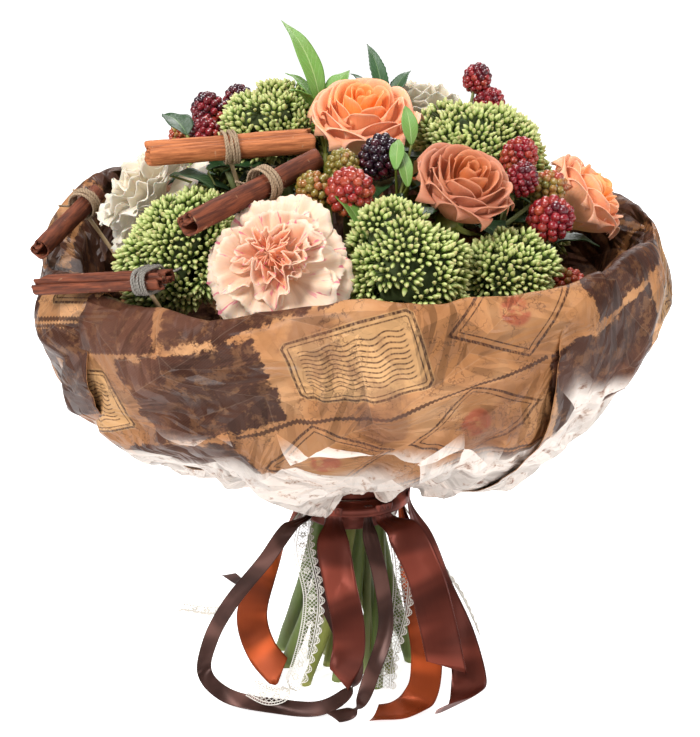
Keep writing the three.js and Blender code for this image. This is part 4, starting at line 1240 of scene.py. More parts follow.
@dataclass
class Carnation(Bloom):
    """A carnation: rings of ruffled, toothed petals out of a tubular calyx."""

    rings: tuple[tuple[float, ...], ...] = (
        # count, reach, climb in degrees, depth of the ruffle, half the turn that a petal spans
        (5, 1.0, -5, 0.045, 45), (6, 0.96, 7, 0.06, 40), (5, 0.88, 20, 0.09, 47), (5, 0.79, 34, 0.12, 50),
        (5, 0.69, 48, 0.14, 53), (4, 0.59, 61, 0.15, 62), (4, 0.49, 73, 0.15, 66), (3, 0.41, 85, 0.13, 80))

    def petals(self, finish: PetalFinish, slot: str) -> None:
        """Builds the petals.

        Args:
            finish: Their finish.
            slot: The record's slot that it comes from.
        """
        pool, R = Pool(), self.radius
        rng = np.random.default_rng(self.seed)
        v, u = patch(15, 41)
        for w, (count, reach, climb, ruffle, half) in enumerate(self.rings):
            for i in range(int(count)):
                j = rng.uniform(-1, 1, 5)
                rise = math.radians(climb + 12 * j[0])
                turn = 2 * math.pi * (i + 0.5 * w + 0.32 * j[1]) / count
                saw = 2 * abs(np.mod(u * 6.0 + 0.7 * np.sin(5 * u) + j[2], 1) - 0.5)
                rounded = smooth(v, 0.3, 1.0) * (0.31 + 0.09 * j[4]) * abs(u) ** 3.2
                tooth = 1 + smooth(v, 0.84, 1.0) * (0.045 * saw - 0.03) - rounded
                out = R * (reach - 0.03 + 0.1 * j[3]) * v**1.15 * tooth
                wave = R * (ruffle * v**2 * np.sin(3.6 * u + 3.1 * j[4])
                            + 0.6 * ruffle * v**3 * np.sin(9.5 * u + 2.4 * np.sin(2 * u + j[0]) + 5 * j[2])
                            + 0.011 * v**4 * np.sin(21 * u + 9 * j[1]))
                radius = 0.05 * R + out * math.cos(rise) - wave * math.sin(rise)
                curl = -0.05 * R * v**4 * (1 - w / 8)
                throat = R * (-0.42 + 0.34 * np.sin(np.minimum(v * 2, 1) * 1.57))
                z = throat + out * math.sin(rise) + wave * math.cos(rise) + curl
                angle = turn + u * math.radians(half) * (0.3 + 0.7 * v**0.8)
                grid = self.seat.place(polar(np.maximum(radius, 0.5), angle, z))
                pool.sheets(grid, along=v, across=u, ring=1 - w / 7.0, tint=rng.uniform())
        pool.piece(f"{self.name}_bloom", slot, [f"{self.name}_petals"], finish.material(), thick=0.35)

    def green(self, finish: StemFinish) -> None:
        """Builds the calyx and the stem."""
        pool, R = Pool(), self.radius
        self.cup(pool, -0.5 * R - 0.35, 0.42 * R, 0.18 * R, CALYX, 0.5)
        self.stem(pool, "carnation", 0.7, 0.6, finish)


# ---------------------------------------------------------------- sedum
@dataclass
class Sedum:
    """A flat-topped head of small pointed buds in clusters, on branching stalks."""

    name: str
    seat: Seat
    radius: float
    seed: int
    cluster: float = 6.9
    spacing: float = 2.75
    bud_length: float = 4.9
    bud_radius: float = 1.3
    rim_rows: Rows = ((3.0, 1.15, 0.95), (11.0, 1.65, 0.84), (17.0, 2.2, 0.62))  # sink, tilt, share of rim
    shade_share: tuple[float, ...] = (0.02, 0.25, 0.43, 0.56, 0.66, 0.66, 0.54, 0.3, 0.12)
    shade_drop: tuple[float, ...] = (8.5, 8.5, 9.0, 9.5, 10.0, 12.0, 14.0, 15.0, 16.0)
    shade_close: tuple[float, ...] = (0, 0, 0, 0, 0, 0, 0.3, 0.75, 1.0)

    def rim(self) -> Callable[[Array], Array]:
        """Reads how far the solid's rim reaches in each direction.

        Returns:
            A function from angles to reaches.
        """
        local = self.seat.local(node_points(self.name))
        R = self.radius
        reach = np.hypot(local[:, 0], local[:, 1])
        edge = (local[:, 2] > -0.32 * R) & (local[:, 2] < -0.1 * R) & (reach > 8)
        angle, far = np.arctan2(local[edge, 1], local[edge, 0]), reach[edge]
        order = np.argsort(angle)
        return lambda at: np.interp(at, angle[order], far[order], period=2 * math.pi)

    def clusters(self, rim: Callable[[Array], Array], rng: np.random.Generator) -> tuple[Array, Array]:
        """Places the clusters: in a spiral over the dome, and in rows round and under its rim.

        Args:
            rim: The rim's reach by direction.
            rng: The head's random draws.

        Returns:
            Their tops and the ways that they face, in the head's own axes.
        """
        mean = float(rim(np.linspace(-3.1, 3.1, 60)).mean())
        count = max(7, int(0.86 * (mean / self.cluster) ** 2))
        k = np.arange(count) + 0.5
        spread, turn = np.sqrt(k / count) * 0.93, k * GOLDEN + self.seed
        x, y = spread * np.cos(turn), spread * np.sin(turn)
        share, angle = np.hypot(x, y), np.arctan2(y, x)
        tops = polar(rim(angle) * share, angle, self.radius * (0.32 - 0.5 * share**2.2))
        ways = unit(polar(np.sin(share * 0.95), angle, np.cos(share * 0.95)))
        ring = circle(max(9, int(3.6 * mean / self.cluster)), -math.pi)
        for sink, tilt, inset in self.rim_rows:
            edge = ring + 0.5 * sink + rng.uniform(-0.08, 0.08, len(ring))
            tops = np.vstack([tops, polar(inset * rim(edge), edge, -0.18 * self.radius - sink)])
            ways = np.vstack([ways, polar(math.sin(tilt), edge, math.cos(tilt))])
        return tops, ways

    def bunch(self, top: Array, way: Array, rng: np.random.Generator) -> tuple[Array, Array, Array, Array]:
        """Fills a cluster with buds.

        Args:
            top: The cluster's top.
            way: The way that it faces.
            rng: The head's random draws.

        Returns:
            For each bud its foot, the way it points, the fork of its stalk and its tint.
        """
        own = self.cluster * rng.uniform(0.8, 1.15)
        way = unit(way + rng.normal(0, 0.13, 3))
        top = top + way * rng.uniform(-4.4, 2.0)
        n = int((own / self.spacing) ** 2 * 3.4)
        m = np.arange(n) + 0.5
        spread, around = np.sqrt(m / n), m * GOLDEN + rng.uniform(0, 6)
        local = polar(own * spread, around, 2.4 * (1 - spread**2) + rng.uniform(-0.5, 0.5, n))
        turn = turned(way)
        feet = top + local @ turn.T - way * (self.bud_length * 0.75)
        lean = unit(way + (polar(spread * 0.85, around) @ turn.T) + rng.normal(0, 0.16, (n, 3)))
        fork = top - way * (self.bud_length + 5.0)
        return feet, lean, np.broadcast_to(fork, feet.shape), rng.uniform(0, 1, n)

    def build(self, buds: BudFinish, stalks: StemFinish) -> None:
        """Builds the buds, and the stalks with the stem.

        Args:
            buds: The buds' finish.
            stalks: The green finish.
        """
        rng = np.random.default_rng(self.seed)
        rim, R = self.rim(), self.radius
        bloom, green = Pool(), Pool()
        grown = [self.bunch(top, way, rng) for top, way in zip(*self.clusters(rim, rng))]
        feet, leans, forks, tints = (np.concatenate(part) for part in zip(*grown))
        feet, forks = self.seat.place(feet), self.seat.place(forks)
        leans = leans @ turned(self.seat.axis, self.seat.roll).T
        size = rng.uniform(0.78, 1.12, len(feet))
        grids = spindles(feet, leans, self.bud_length * size, self.bud_radius * size, BUD, 6)
        star = 1 + 0.12 * np.cos(np.arange(6) * math.pi)[None, None, :, None]
        middle = grids.mean(axis=2, keepdims=True)
        grids = middle + (grids - middle) * star
        bloom.sheets(grids, around=True, along=steps(BUD), tint=tints[:, None, None])
        far = np.linalg.norm(feet - forks, axis=1)
        threads = spindles(forks, feet - forks, far, 0.45, THREAD, 3)
        # The bud stalks inside the head are darkened with painted shade.
        green.sheets(threads, around=True, along=0.5, tint=0.8, deep=0.35)
        start = self.seat.place(np.array([[0.0, 0.0, -0.42 * R]]))[0]
        for fork in self.seat.place(np.array([bunch[2][0] for bunch in grown])):
            bend = mix(start, fork, 0.55) - 0.1 * np.linalg.norm(fork - start) * self.seat.axis
            branch = tube(spline([start, bend, fork], 9), np.linspace(1.7, 0.9, 9), 6)
            green.sheets(branch, around=True, along=0.5, tint=0.6)
        self.shade(green, rim)
        Stem(self.name, self.seat.at - 0.4 * R * self.seat.axis, STEM_RADIUS["sedum"], 0.35).grow(green)
        bloom.piece(f"{self.name}_buds", "sedum_buds", [self.name], buds.material())
        green.piece(f"{self.name}_stalks", "green_stems", [], stalks.material())

    def shade(self, pool: Pool, rim: Callable[[Array], Array]) -> None:
        """Closes the head under its buds with a dark sheet of painted shade, down to the stem.

        Args:
            pool: The green pool.
            rim: The rim's reach by direction.
        """
        rows = self.shade_share, self.shade_drop, self.shade_close
        share, drop, close = (np.array(row)[:, None] for row in rows)
        angle = circle(48, -math.pi)[None, :]
        z = self.radius * (0.32 - 0.5 * np.minimum(share, 0.9) ** 2.2) - drop
        z = np.where(close > 0, mix(z[5], -0.42 * self.radius, close), z)
        bumpy = 1 + 0.05 * np.sin(9 * angle + 11 * share)
        rough = 0.9 * np.sin(13 * angle + 17 * share)
        grid = self.seat.place(polar(rim(angle) * share * bumpy, angle, z + rough))
        # The sheet is painted shade, mostly in the stem finish's shaded green.
        pool.sheets(grid, around=True, caps=True, along=0.5, tint=0.1, deep=0.85)


# ---------------------------------------------------------------- berries
@dataclass
class Spray:
    """A spray of blackberries. Each berry is x, y, lift, radius and how ripe it is, from 0 to 1."""

    name: str
    seat: Seat
    berries: Rows
    seed: int
    drupelets: int = 58

    def build(self, fruit: BerryFinish, green: StemFinish) -> None:
        """Builds the berries, and the stalks with their sepals and the stem.

        Args:
            fruit: The berries' finish.
            green: The green finish.
        """
        rng = np.random.default_rng(self.seed)
        body, stalk = Pool(), Pool()
        hub = self.seat.at
        for x, y, lift, R, ripe in self.berries:
            end = Seat(x, y, lift)
            lean = unit(mix(end.normal, unit(end.at - hub), 0.4))
            foot = end.at - 1.12 * R * lean
            bend = mix(hub, foot, 0.55) - 0.12 * np.linalg.norm(foot - hub) * lean
            self.berry(body, foot, lean, 7 * x, R, ripe, rng)
            path = spline([hub, bend, foot + 0.1 * R * lean], 14)
            stalk.sheets(tube(path, np.linspace(1.35, 1.0, 14), 8), around=True, along=0.5, tint=0.5)
            spots = path[rng.integers(2, 13, 30)]
            ways = unit(rng.normal(0, 1, (30, 3)))
            stalk.sheets(spindles(spots, ways, 2.6, 0.12, HAIR, 3), around=True, along=0.5, tint=1.0)
            self.sepals(stalk, foot, turned(lean, rng.uniform(0, 360)), R)
        Stem(self.name, hub, STEM_RADIUS["berry"], 0.4).grow(stalk)
        body.piece(f"{self.name}_fruit", "blackberries", [self.name], fruit.material())
        stalk.piece(f"{self.name}_stalks", "green_stems", [], green.material())

    def berry(self, pool: Pool, foot: Array, lean: Array, roll: float, R: float, ripe: float,
              rng: np.random.Generator) -> None:
        """Adds a berry of drupelets.

        Args:
            pool: The fruit's pool.
            foot: Its cap end.
            lean: The way that it points.
            roll: Its roll about that way, in degrees.
            R: Its radius.
            ripe: How ripe it is, from 0 to 1.
            rng: The spray's random draws.
        """
        n = self.drupelets
        k = np.arange(n) + 0.5
        fall, turn = np.arccos(1 - 2 * k / n), k * GOLDEN
        waist = R * 0.83 * np.sin(fall) * (1 - 0.1 * np.cos(fall))
        local = polar(waist, turn, R * 1.12 + R * 0.93 * np.cos(fall))
        out = unit(polar(np.sin(fall), turn, 0.8 * np.cos(fall)))
        size = R * 0.235 * rng.uniform(0.86, 1.12, n)
        turn_in = turned(lean, roll)
        centres = foot + local @ turn_in.T
        ways = out @ turn_in.T
        own = np.clip(ripe + rng.normal(0, 0.07, n) + 0.1 * np.cos(fall), 0, 1)
        beads = spindles(centres - ways * size[:, None], ways, 2 * size, size, DRUPELET, 9)
        pool.sheets(beads, around=True, along=steps(DRUPELET), ripe=own[:, None, None])
        hairs = unit(ways + rng.normal(0, 0.3, ways.shape))
        tips = spindles(centres + ways * size[:, None] * 0.9, hairs, 1.5, 0.09, HAIR, 3)
        pool.sheets(tips, around=True, along=0.0, ripe=0.2)
        core = spindles(foot[None] + 0.2 * R * lean, lean[None], 1.85 * R, 0.8 * R, BERRY_CORE, 14)
        pool.sheets(core, around=True, along=0.0, ripe=ripe)

    def sepals(self, pool: Pool, foot: Array, turn_in: Array, R: float) -> None:
        """Adds five reflexed sepals at a berry's cap end.

        Args:
            pool: The green pool.
            foot: The cap end.
            turn_in: Their rotation, which carries +Z along the berry.
            R: The berry's radius.
        """
        v, u = patch(9, 5)
        for i in range(5):
            angle = 2 * math.pi * i / 5 + u * 0.62 * np.sin(np.pi * (0.15 + 0.85 * v)) / (0.5 + v)
            z = R * (0.1 + 0.16 * np.sin(v * 2.5)) + 0.05 * R * u**2
            pool.sheets(foot + polar(R * (0.1 + 0.62 * v), angle, z) @ turn_in.T, along=0.5, tint=0.7)


# ---------------------------------------------------------------- leaves
@dataclass
class LeafSpray:
    """A spray of leaves on one stem. Each row is x, y, lift, heading, climb, length and width."""

    name: str
    seat: Seat
    leaves: Rows
    teeth: int = 0
    tint: float = 0.3
    extra: Rows = ()

    def build(self, finish: LeafFinish, green: StemFinish) -> None:
        """Builds the leaves, and the stalks with the stem.

        Args:
            finish: The leaves' finish.
            green: The green finish.
        """
        blades, stalk = Pool(), Pool()
        hub = self.seat.at
        for i, (x, y, lift, heading, climb, length, width) in enumerate((*self.leaves, *self.extra)):
            base = Seat(x, y, lift).at
            tint, wave = self.tint + 0.1 * (i % 3), 0.03 * width
            Leaf(base, heading, climb, length, width, self.teeth, tint=tint, wave=wave).grow(blades)
            path = spline([hub, mix(hub, base, 0.5) + [0, 0, 0.6], base], 8)
            stalk.sheets(tube(path, np.linspace(1.0, 0.7, 8), 6), around=True, along=0.5, tint=0.4)
        Stem(self.name, hub, STEM_RADIUS["leaf"], 0.3).grow(stalk)
        blades.piece(f"{self.name}_blades", "leaves", [self.name], finish.material(), thick=0.4)
        stalk.piece(f"{self.name}_stalks", "green_stems", [], green.material())


@dataclass
class Foliage:
    """Dark low leaves in a spiral that fill the dome between the heads, lying outwards."""

    name: str
    count: int = 70
    reach: float = 138.0

    def build(self, finish: LeafFinish) -> None:
        """Builds the leaves.

        Args:
            finish: Their finish.
        """
        pool = Pool()
        for k in range(self.count):
            far, around = self.reach * math.sqrt((k + 0.5) / self.count), k * GOLDEN
            seat = Seat(far * math.cos(around), far * math.sin(around), -30.0 - 6 * math.sin(k))
            heading, climb = math.degrees(around) + 40 * math.sin(3 * k), 24 + 10 * math.cos(k)
            length, tint = 34.0 + 6 * math.sin(2 * k), 0.5 + 0.5 * (k % 2)
            Leaf(seat.at, heading, climb, length, 21.0, 13, tint=tint, wave=0.5).grow(pool)
        pool.piece(self.name, "leaves", [], finish.material(), thick=0.4)


# ---------------------------------------------------------------- cinnamon bundles
@dataclass
class Bundle:
    """Cinnamon quills side by side, tied with twine and held up on a pick."""

    name: str
    start: tuple[float, float, float]
    end: tuple[float, float, float]
    quill: float
    count: int
    tie: float
    tint: float = 0.4
    turns: int = 8

    def __post_init__(self) -> None:
        """Finds the bundle's axes, and how far apart its quills lie."""
        self.low, self.high = np.array(self.start), np.array(self.end)
        self.along = unit(self.high - self.low)
        self.across = unit(np.cross(UP, self.along))
        self.up = unit(np.cross(self.along, self.across))
        self.middle = mix(self.low, self.high, self.tie)
        self.gap = 2.1 * self.quill + 0.5
        self.outside = self.quill * 1.02 + 0.55

    def section(self, wall: float = 0.6, outer: int = 18, inner: int = 28) -> Array:
        """The bark's middle line across a quill: a double scroll whose slit faces +X.

        Args:
            wall: Half the bark's thickness.
            outer, inner: Steps of each scroll on its wide and on its narrowing turns.

        Returns:
            Points of the line, shape (n, 2).
        """
        radius = self.quill * 0.95 - wall
        radii = [radius] * outer + list(np.linspace(0.44, 0.24, inner) * radius)
        turns = [math.radians(116) / outer] * outer + [math.radians(400) / inner] * inner
        at, heading = np.array([-radius, 0.0]), math.pi / 2
        points = [at]
        for r, turn in zip(radii, turns):
            heading -= turn / 2
            at = at + 2 * r * math.sin(turn / 2) * np.array([math.cos(heading), math.sin(heading)])
            heading -= turn / 2
            points.append(at)
        half = np.array(points)
        return np.vstack([half[1:][::-1] * [1, -1], half])

    def quills(self, finish: BarkFinish) -> None:
        """Builds each quill as a rolled sheet of bark.

        Args:
            finish: The bark's finish.
        """
        section = self.section()
        rng = np.random.default_rng(int(self.quill * 10))
        share = np.linspace(0, 1, 34)[:, None]
        place = np.linspace(-1, 1, len(section))[None, :]
        length = np.linalg.norm(self.high - self.low)
        for i in range(self.count):
            pool = Pool()
            slip = (i - (self.count - 1) / 2) * self.gap * self.across
            ragged = 1.2 * np.sin(7 * place + i) + 0.7 * np.sin(17 * place + 2 * i)
            run = np.clip(share * length, 1.5, length - 1.5) + 0 * place
            run = np.where(share == 0, 1.4 + ragged, np.where(share == 1, length - 1.4 + ragged, run))
            knots = 0.01 * rng.normal(0, 1, share.shape)
            size = 1 + 0.02 * np.sin(share * 9 + i) + 0.012 * np.sin(share * 31 + 4 * place) + knots
            grid = np.stack([section[:, 0] * size, section[:, 1] * size, run], axis=-1)
            grid = grid @ turned(self.along, 200 + 130 * i).T + self.low + slip
            pool.sheets(grid, along=share, across=place, tint=self.tint + 0.25 * i)
            nodes = [f"cinnamon_{self.name}_{i + 1}"]
            pool.piece(f"bark_{self.name}_{i + 1}", "cinnamon_bark", nodes, finish.material(), thick=1.1)

    def twine(self, finish: FibreFinish, wire: float = 0.66) -> None:
        """Winds the twine round the quills, with two loose ends and fibres.

        Args:
            finish: The twine's finish.
            wire: Its radius.
        """
        pool = Pool()
        half = (self.count - 1) / 2 * self.gap
        angle = np.linspace(0, 2 * math.pi * self.turns, 40 * self.turns)
        slide = half * np.clip(np.cos(angle) * 3, -1, 1)
        drift = np.linspace(-4.2, 4.2, len(angle)) + 1.1 * np.sin(angle * 0.37) + 0.4 * np.sin(angle * 1.7)
        reach = self.outside + wire * 0.95 + 0.35 * np.sin(angle * 0.61) + 0.3
        aside, over = slide + reach * np.cos(angle), reach * np.sin(angle)
        path = (self.middle + drift[:, None] * self.along + aside[:, None] * self.across
                + over[:, None] * self.up)
        last = unit(0.7 * self.across + 0.8 * self.along + 0.3 * self.up)
        first = unit(0.5 * self.across - 0.8 * self.along + 0.5 * self.up)
        tail = path[-1] + np.outer(np.linspace(1, 9, 9), last)
        head = path[0] + np.outer(np.linspace(7, 1, 7), first)
        twist(pool, np.vstack([head, path, tail]), wire, 3.4)
        fray(pool, path, wire, 220, 3.6, 4)
        pool.piece(f"tie_{self.name}", "twine", [f"twine_{self.name}"], finish.material())

    def pick(self, finish: StemFinish) -> None:
        """Builds the pick.

        Args:
            finish: The wood's finish.
        """
        pool = Pool()
        end = self.middle - (self.outside + 2.1) * self.up
        Stem(f"pick_{self.name}", end, STEM_RADIUS["pick"], 0.5).grow(pool)
        pool.piece(f"stick_{self.name}", "wooden_picks", [f"pick_{self.name}"], finish.material())


def twist(pool: Pool, path: Array, radius: float, lay: float) -> None:
    """Adds a two-ply twine along a path, with its grooves marked for painted shade.

    Args:
        pool: The twine's pool.
        path: Points of the path.
        radius: The twine's radius.
        lay: Length of one turn of its plies.
    """
    run = run_along(path)
    fine = np.linspace(0, run[-1], max(len(path), int(run[-1] / 0.7)))
    groove = 0.5 - 0.5 * np.cos(2 * (circle(10)[None, :] - 2 * math.pi * fine[:, None] / lay))
    grid = tube(walked(path, run, fine), radius, 10, 0.16, lay)
    pool.sheets(grid, around=True, caps=True, groove=smooth(groove, 0.45, 1.0))


def fray(pool: Pool, path: Array, radius: float, count: int, length: float, seed: int) -> None:
    """Adds loose fibres that stand off a twine.

    Args:
        pool: The twine's pool.
        path: Points of its path.
        radius: Its radius.
        count: How many fibres.
        length: The longest fibre's length.
        seed: The seed of their places.
    """
    rng = np.random.default_rng(seed)
    ways = unit(rng.normal(0, 1, (count, 3)))
    roots = path[rng.integers(0, len(path), count)] + ways * radius * 0.5
    hairs = spindles(roots, ways, rng.uniform(0.4, 1, count) * length, 0.07, HAIR, 3)
    pool.sheets(hairs, around=True, groove=0.1)


# ---------------------------------------------------------------- bands and ribbons
def draped(points: Array, count: int) -> Array:
    """Runs a curve through unevenly spaced points without overshoot.

    Args:
        points: The points, shape (n, 3).
        count: How many points to return, evenly by point.

    Returns:
        Points of the curve, shape (count, 3).
    """
    padded = np.vstack([2 * points[0] - points[1], points, 2 * points[-1] - points[-2]])
    line = []
    for t in np.linspace(0, len(points) - 1, count):
        k = min(int(t), len(points) - 2)
        p = padded[k:k + 4]
        d = [max(float(np.linalg.norm(p[j + 1] - p[j])) ** 0.5, 1e-4) for j in range(3)]
        t1 = ((p[1] - p[0]) / d[0] - (p[2] - p[0]) / (d[0] + d[1]) + (p[2] - p[1]) / d[1]) * d[1]
        t2 = ((p[2] - p[1]) / d[1] - (p[3] - p[1]) / (d[1] + d[2]) + (p[3] - p[2]) / d[2]) * d[1]
        f = t - k
        square, cube = 3 * (p[2] - p[1]) - 2 * t1 - t2, 2 * (p[1] - p[2]) + t1 + t2
        line.append(p[1] + t1 * f + square * f**2 + cube * f**3)
    return np.array(line)


class Weave(Enum):
    """The kind of a ribbon."""

    LACE = "lace"
    COPPER = "copper"
    TAUPE = "taupe"
    SATIN = "satin"


@dataclass(frozen=True)
class Course:
    """The way that a strand takes: its middle line, half its width as a vector, and the length so far."""

    middle: Array
    half: Array
    run: Array

    @property
    def heading(self) -> Array:
        """The way along it."""
        return unit(np.gradient(self.middle, axis=0))

    @property
    def normal(self) -> Array:
        """The way out of its face."""
        return unit(np.cross(self.heading, self.half))


@dataclass(frozen=True)
class Strand:
    """A free length of ribbon. Rows are x, y, z, and its width's turn and tilt. A loop has a back turn."""

    width: float
    turn: float
    rows: Rows
    back: float | None = None

    def course(self, ring: float, step: float = 1.6) -> Course:
        """Follows the strand from its band.

        Args:
            ring: The radius of its band.
            step: About how far apart the points are.

        Returns:
            Its course.
        """
        def held(angle: float, z: float) -> tuple[float, ...]:
            """A row in the band, where the ribbon is gathered."""
            x, y = ring * math.cos(math.radians(angle)), ring * math.sin(math.radians(angle))
            return (x, y, z, angle + 90, 0, BINDING_GATHER)

        ends = [held(self.back, 106), held(self.back, 115)] if self.back is not None else []
        rows = [held(self.turn, 115), held(self.turn, 106), *[(*row, 1.0) for row in self.rows], *ends]
        points = np.array([row[:3] for row in rows])
        tilts = [(math.radians(row[3]), math.radians(row[4])) for row in rows]
        ways = [polar(math.cos(tilt), turn, math.sin(tilt)) for turn, tilt in tilts]
        for k in range(1, len(ways)):
            if ways[k] @ ways[k - 1] < 0:
                ways[k] = -ways[k]
        count = int(np.linalg.norm(np.diff(points, axis=0), axis=1).sum() / step)
        middle = draped(points, count)
        across = spline([[*way, row[5] * self.width / 2] for way, row in zip(ways, rows)], count)
        heading = unit(np.gradient(middle, axis=0))
        way = across[:, :3] - heading * (across[:, :3] * heading).sum(axis=1, keepdims=True)
        return Course(middle, unit(way) * across[:, 3:], run_along(middle))


@dataclass
class Ribbon:
    """A ribbon: a gathered band round the handle and the strands that leave it."""

    weave: Weave
    ring: float
    strands: tuple[Strand, ...]
    low: float = 108.0
    high: float = 117.0
    cup: float = 0.05

    def build(self, material: Material, slot: str) -> None:
        """Builds the band and every strand as a sheet of its own.

        Args:
            material: The ribbon's material.
            slot: The record's slot that it comes from.
        """
        node = f"ribbon_{self.weave.value}"
        self.band(material, slot, node)
        for i, strand in enumerate(self.strands, 1):
            course = strand.course(self.ring)
            pool, lacy = Pool(), self.weave is Weave.LACE
            (self.lace if lacy else self.cloth)(pool, course, strand.width)
            thick = 0.0 if lacy else 0.3
            piece = pool.piece(f"{self.weave.value}_tail_{i}", slot, [node], material, thick=thick)
            flat = (max(strand.width, 10.0) * MM, course.run[-1] * MM)

    def band(self, material: Material, slot: str, node: str) -> None:
        """Builds the band, with the folds of a ribbon pulled tight.

        Args:
            material: The ribbon's material.
            slot: The record's slot that it comes from.
            node: The solid that it stands for.
        """
        pool = Pool()
        angle = np.linspace(0, 2 * math.pi, 181)[:, None]
        t = np.linspace(-1, 1, 13)[None, :]
        fold = 0.28 * np.sin(5.5 * t + 0.7 * np.sin(3 * angle)) * (1 - 0.4 * abs(t))
        lean = 0.8 * np.sin(angle * 2 + self.ring)
        high = t * (self.high - self.low) / 2 * (0.94 + 0.05 * np.sin(4 * angle))
        z = (self.low + self.high) / 2 + high + lean * 0.5
        neck = mix(self.ring, 30.2 + 0.25 * (self.ring - 31.0), smooth(t, -0.2, 1.0))
        pool.sheets(polar(neck + fold, angle, z), along=np.degrees(angle), across=t * 0.8)
        piece = pool.piece(f"{self.weave.value}_band", slot, [node], material, thick=0.4)

    def cloth(self, pool: Pool, course: Course, width: float) -> None:
        """Adds a woven strand, slightly cupped and rippled, with a slanting cut end.

        Args:
            pool: The strand's pool.
            course: Its course.
            width: Its width.
        """
        t = np.linspace(-1, 1, 13)[None, :]
        run = course.run[:, None]
        free = smooth(run, 8.0, 30.0)
        bend = self.cup * width * (t**2 - 0.4) * free * (1 + 0.8 * np.sin(run / 19.0 + width))
        gathers = 0.45 * np.sin(9 * t) * (1 - free)
        ripple = 0.5 * np.sin(run / 9.0 + 1.6 * t + width) * free
        grid = course.middle[:, None, :] + t[..., None] * course.half[:, None, :]
        grid = grid + (bend + gathers + ripple)[..., None] * course.normal[:, None, :]
        slant = np.linspace(0, 1, len(run))[:, None] ** 30 * t * 0.28 * width
        grid = grid + slant[..., None] * course.heading[:, None, :]
        grid[..., 2] = np.maximum(grid[..., 2], 0.5)
        pool.sheets(grid, along=run, across=t)

    def lace(self, pool: Pool, course: Course, width: float) -> None:
        """Adds a lace strand of threads: cords, a diagonal net, small blossoms and a scalloped edge.

        Args:
            pool: The strand's pool.
            course: Its course.
            width: Its width.
        """
        end, scallop, net = course.run[-1], 5.6, 2.3
        normal = course.normal

        def lay(s: Array, t: Array, radius: float, sides: int = 4) -> None:
            """Adds a thread through places along the strand and across it."""
            s = np.clip(s, 0, end)
            at, half, out = (walked(part, course.run, s) for part in (course.middle, course.half, normal))
            bow = 0.06 * width * (t**2 - 0.4) + 0.5 * np.sin(s / 6.0)
            path = at + t[:, None] * half + bow[:, None] * out
            path[:, 2] = np.maximum(path[:, 2], 0.6)
            pool.sheets(tube(path, radius, sides), around=True)

        s, short, down = np.arange(0, end, 0.8), np.linspace(0, 1, 4), np.linspace(0, 1, 9)
        for t in (-0.96, -0.72, 0.34, 0.5):
            lay(s, np.full(len(s), t), 0.3)
        for k in np.arange(0, end, 1.15):
            lay(k + 0 * short, -0.96 + 0.24 * short, 0.16, 3)
        for k in np.arange(-8, end + 8, net):
            t = -0.72 + 1.06 * down
            for sign in (1, -1):
                at = k + sign * 6.5 * (down - 0.5)
                inside = (at > 0) & (at < end)
                if inside.sum() > 2:
                    lay(at[inside], t[inside], 0.2, 3)
        fine = np.arange(0, end, 0.35)
        for depth, base in ((0.42, 0.52), (0.26, 0.5)):
            lay(fine, base + depth * abs(np.sin(math.pi * fine / scallop)), 0.26)
        for k in np.arange(scallop / 2, end, scallop):
            for fan in (-0.3, 0.0, 0.3):
                lay(k + fan * scallop * short, 0.5 + (0.4 - abs(fan) * 0.35) * short, 0.17, 3)
        loop = np.linspace(0, 2 * math.pi, 22)
        petal = 1 + 0.35 * np.cos(5 * loop)
        for k in np.arange(4.0, end - 3, 8.0):
            lay(k + 1.55 * petal * np.cos(loop), -0.19 + 1.55 * petal * np.sin(loop) / (width / 2), 0.34)


@dataclass
class Handle:
    """What ties the handle: twine round the stems, and a satin wrap round the paper's neck.

    Each is its inner and outer radius and its lower and upper end.
    """

    binding: tuple[float, float, float, float] = (24.2, 25.1, 107.0, 117.0)
    wrap: tuple[float, float, float, float] = (28.6, 29.5, 98.0, 119.0)

    def twine(self, finish: FibreFinish) -> None:
        """Winds the twine round the stems.

        Args:
            finish: The twine's finish.
        """
        inner, outer, low, high = self.binding
        wire = (outer - inner) / 2
        turns = int((high - low) / (2.05 * wire))
        angle = np.linspace(0, 2 * math.pi * turns, turns * 60)
        z = np.linspace(low + wire, high - wire, len(angle))
        pool = Pool()
        twist(pool, polar((inner + outer) / 2, angle, z), wire, 3.0)
        pool.piece("twine_binding", "twine", ["binding"], finish.material())

    def satin(self, material: Material) -> None:
        """Wraps the neck in satin with slanting folds.

        Args:
            material: The satin's material.
        """
        inner, outer, low, high = self.wrap
        pool = Pool()
        angle = np.linspace(0, 2 * math.pi, 241)[:, None]
        t = np.linspace(0, 1, 25)[None, :]
        fold = 0.3 * np.sin(13 * t + 2 * np.sin(angle)) + 0.14 * np.sin(29 * t + 3 * angle)
        edge = 0.5 * np.sin(3 * angle) * (2 * t - 1)
        flared = (inner + outer) / 2 + 3.4 * smooth(t, 0.68, 1.0)
        grid = polar(flared + fold, angle, mix(low + 0.6, high + 8.0, t) + edge)
        pool.sheets(grid, along=np.degrees(angle), across=(2 * t - 1) * 0.8)
        piece = pool.piece("satin_neck", "red_brown_satin", ["satin_wrap"], material, thick=0.4)


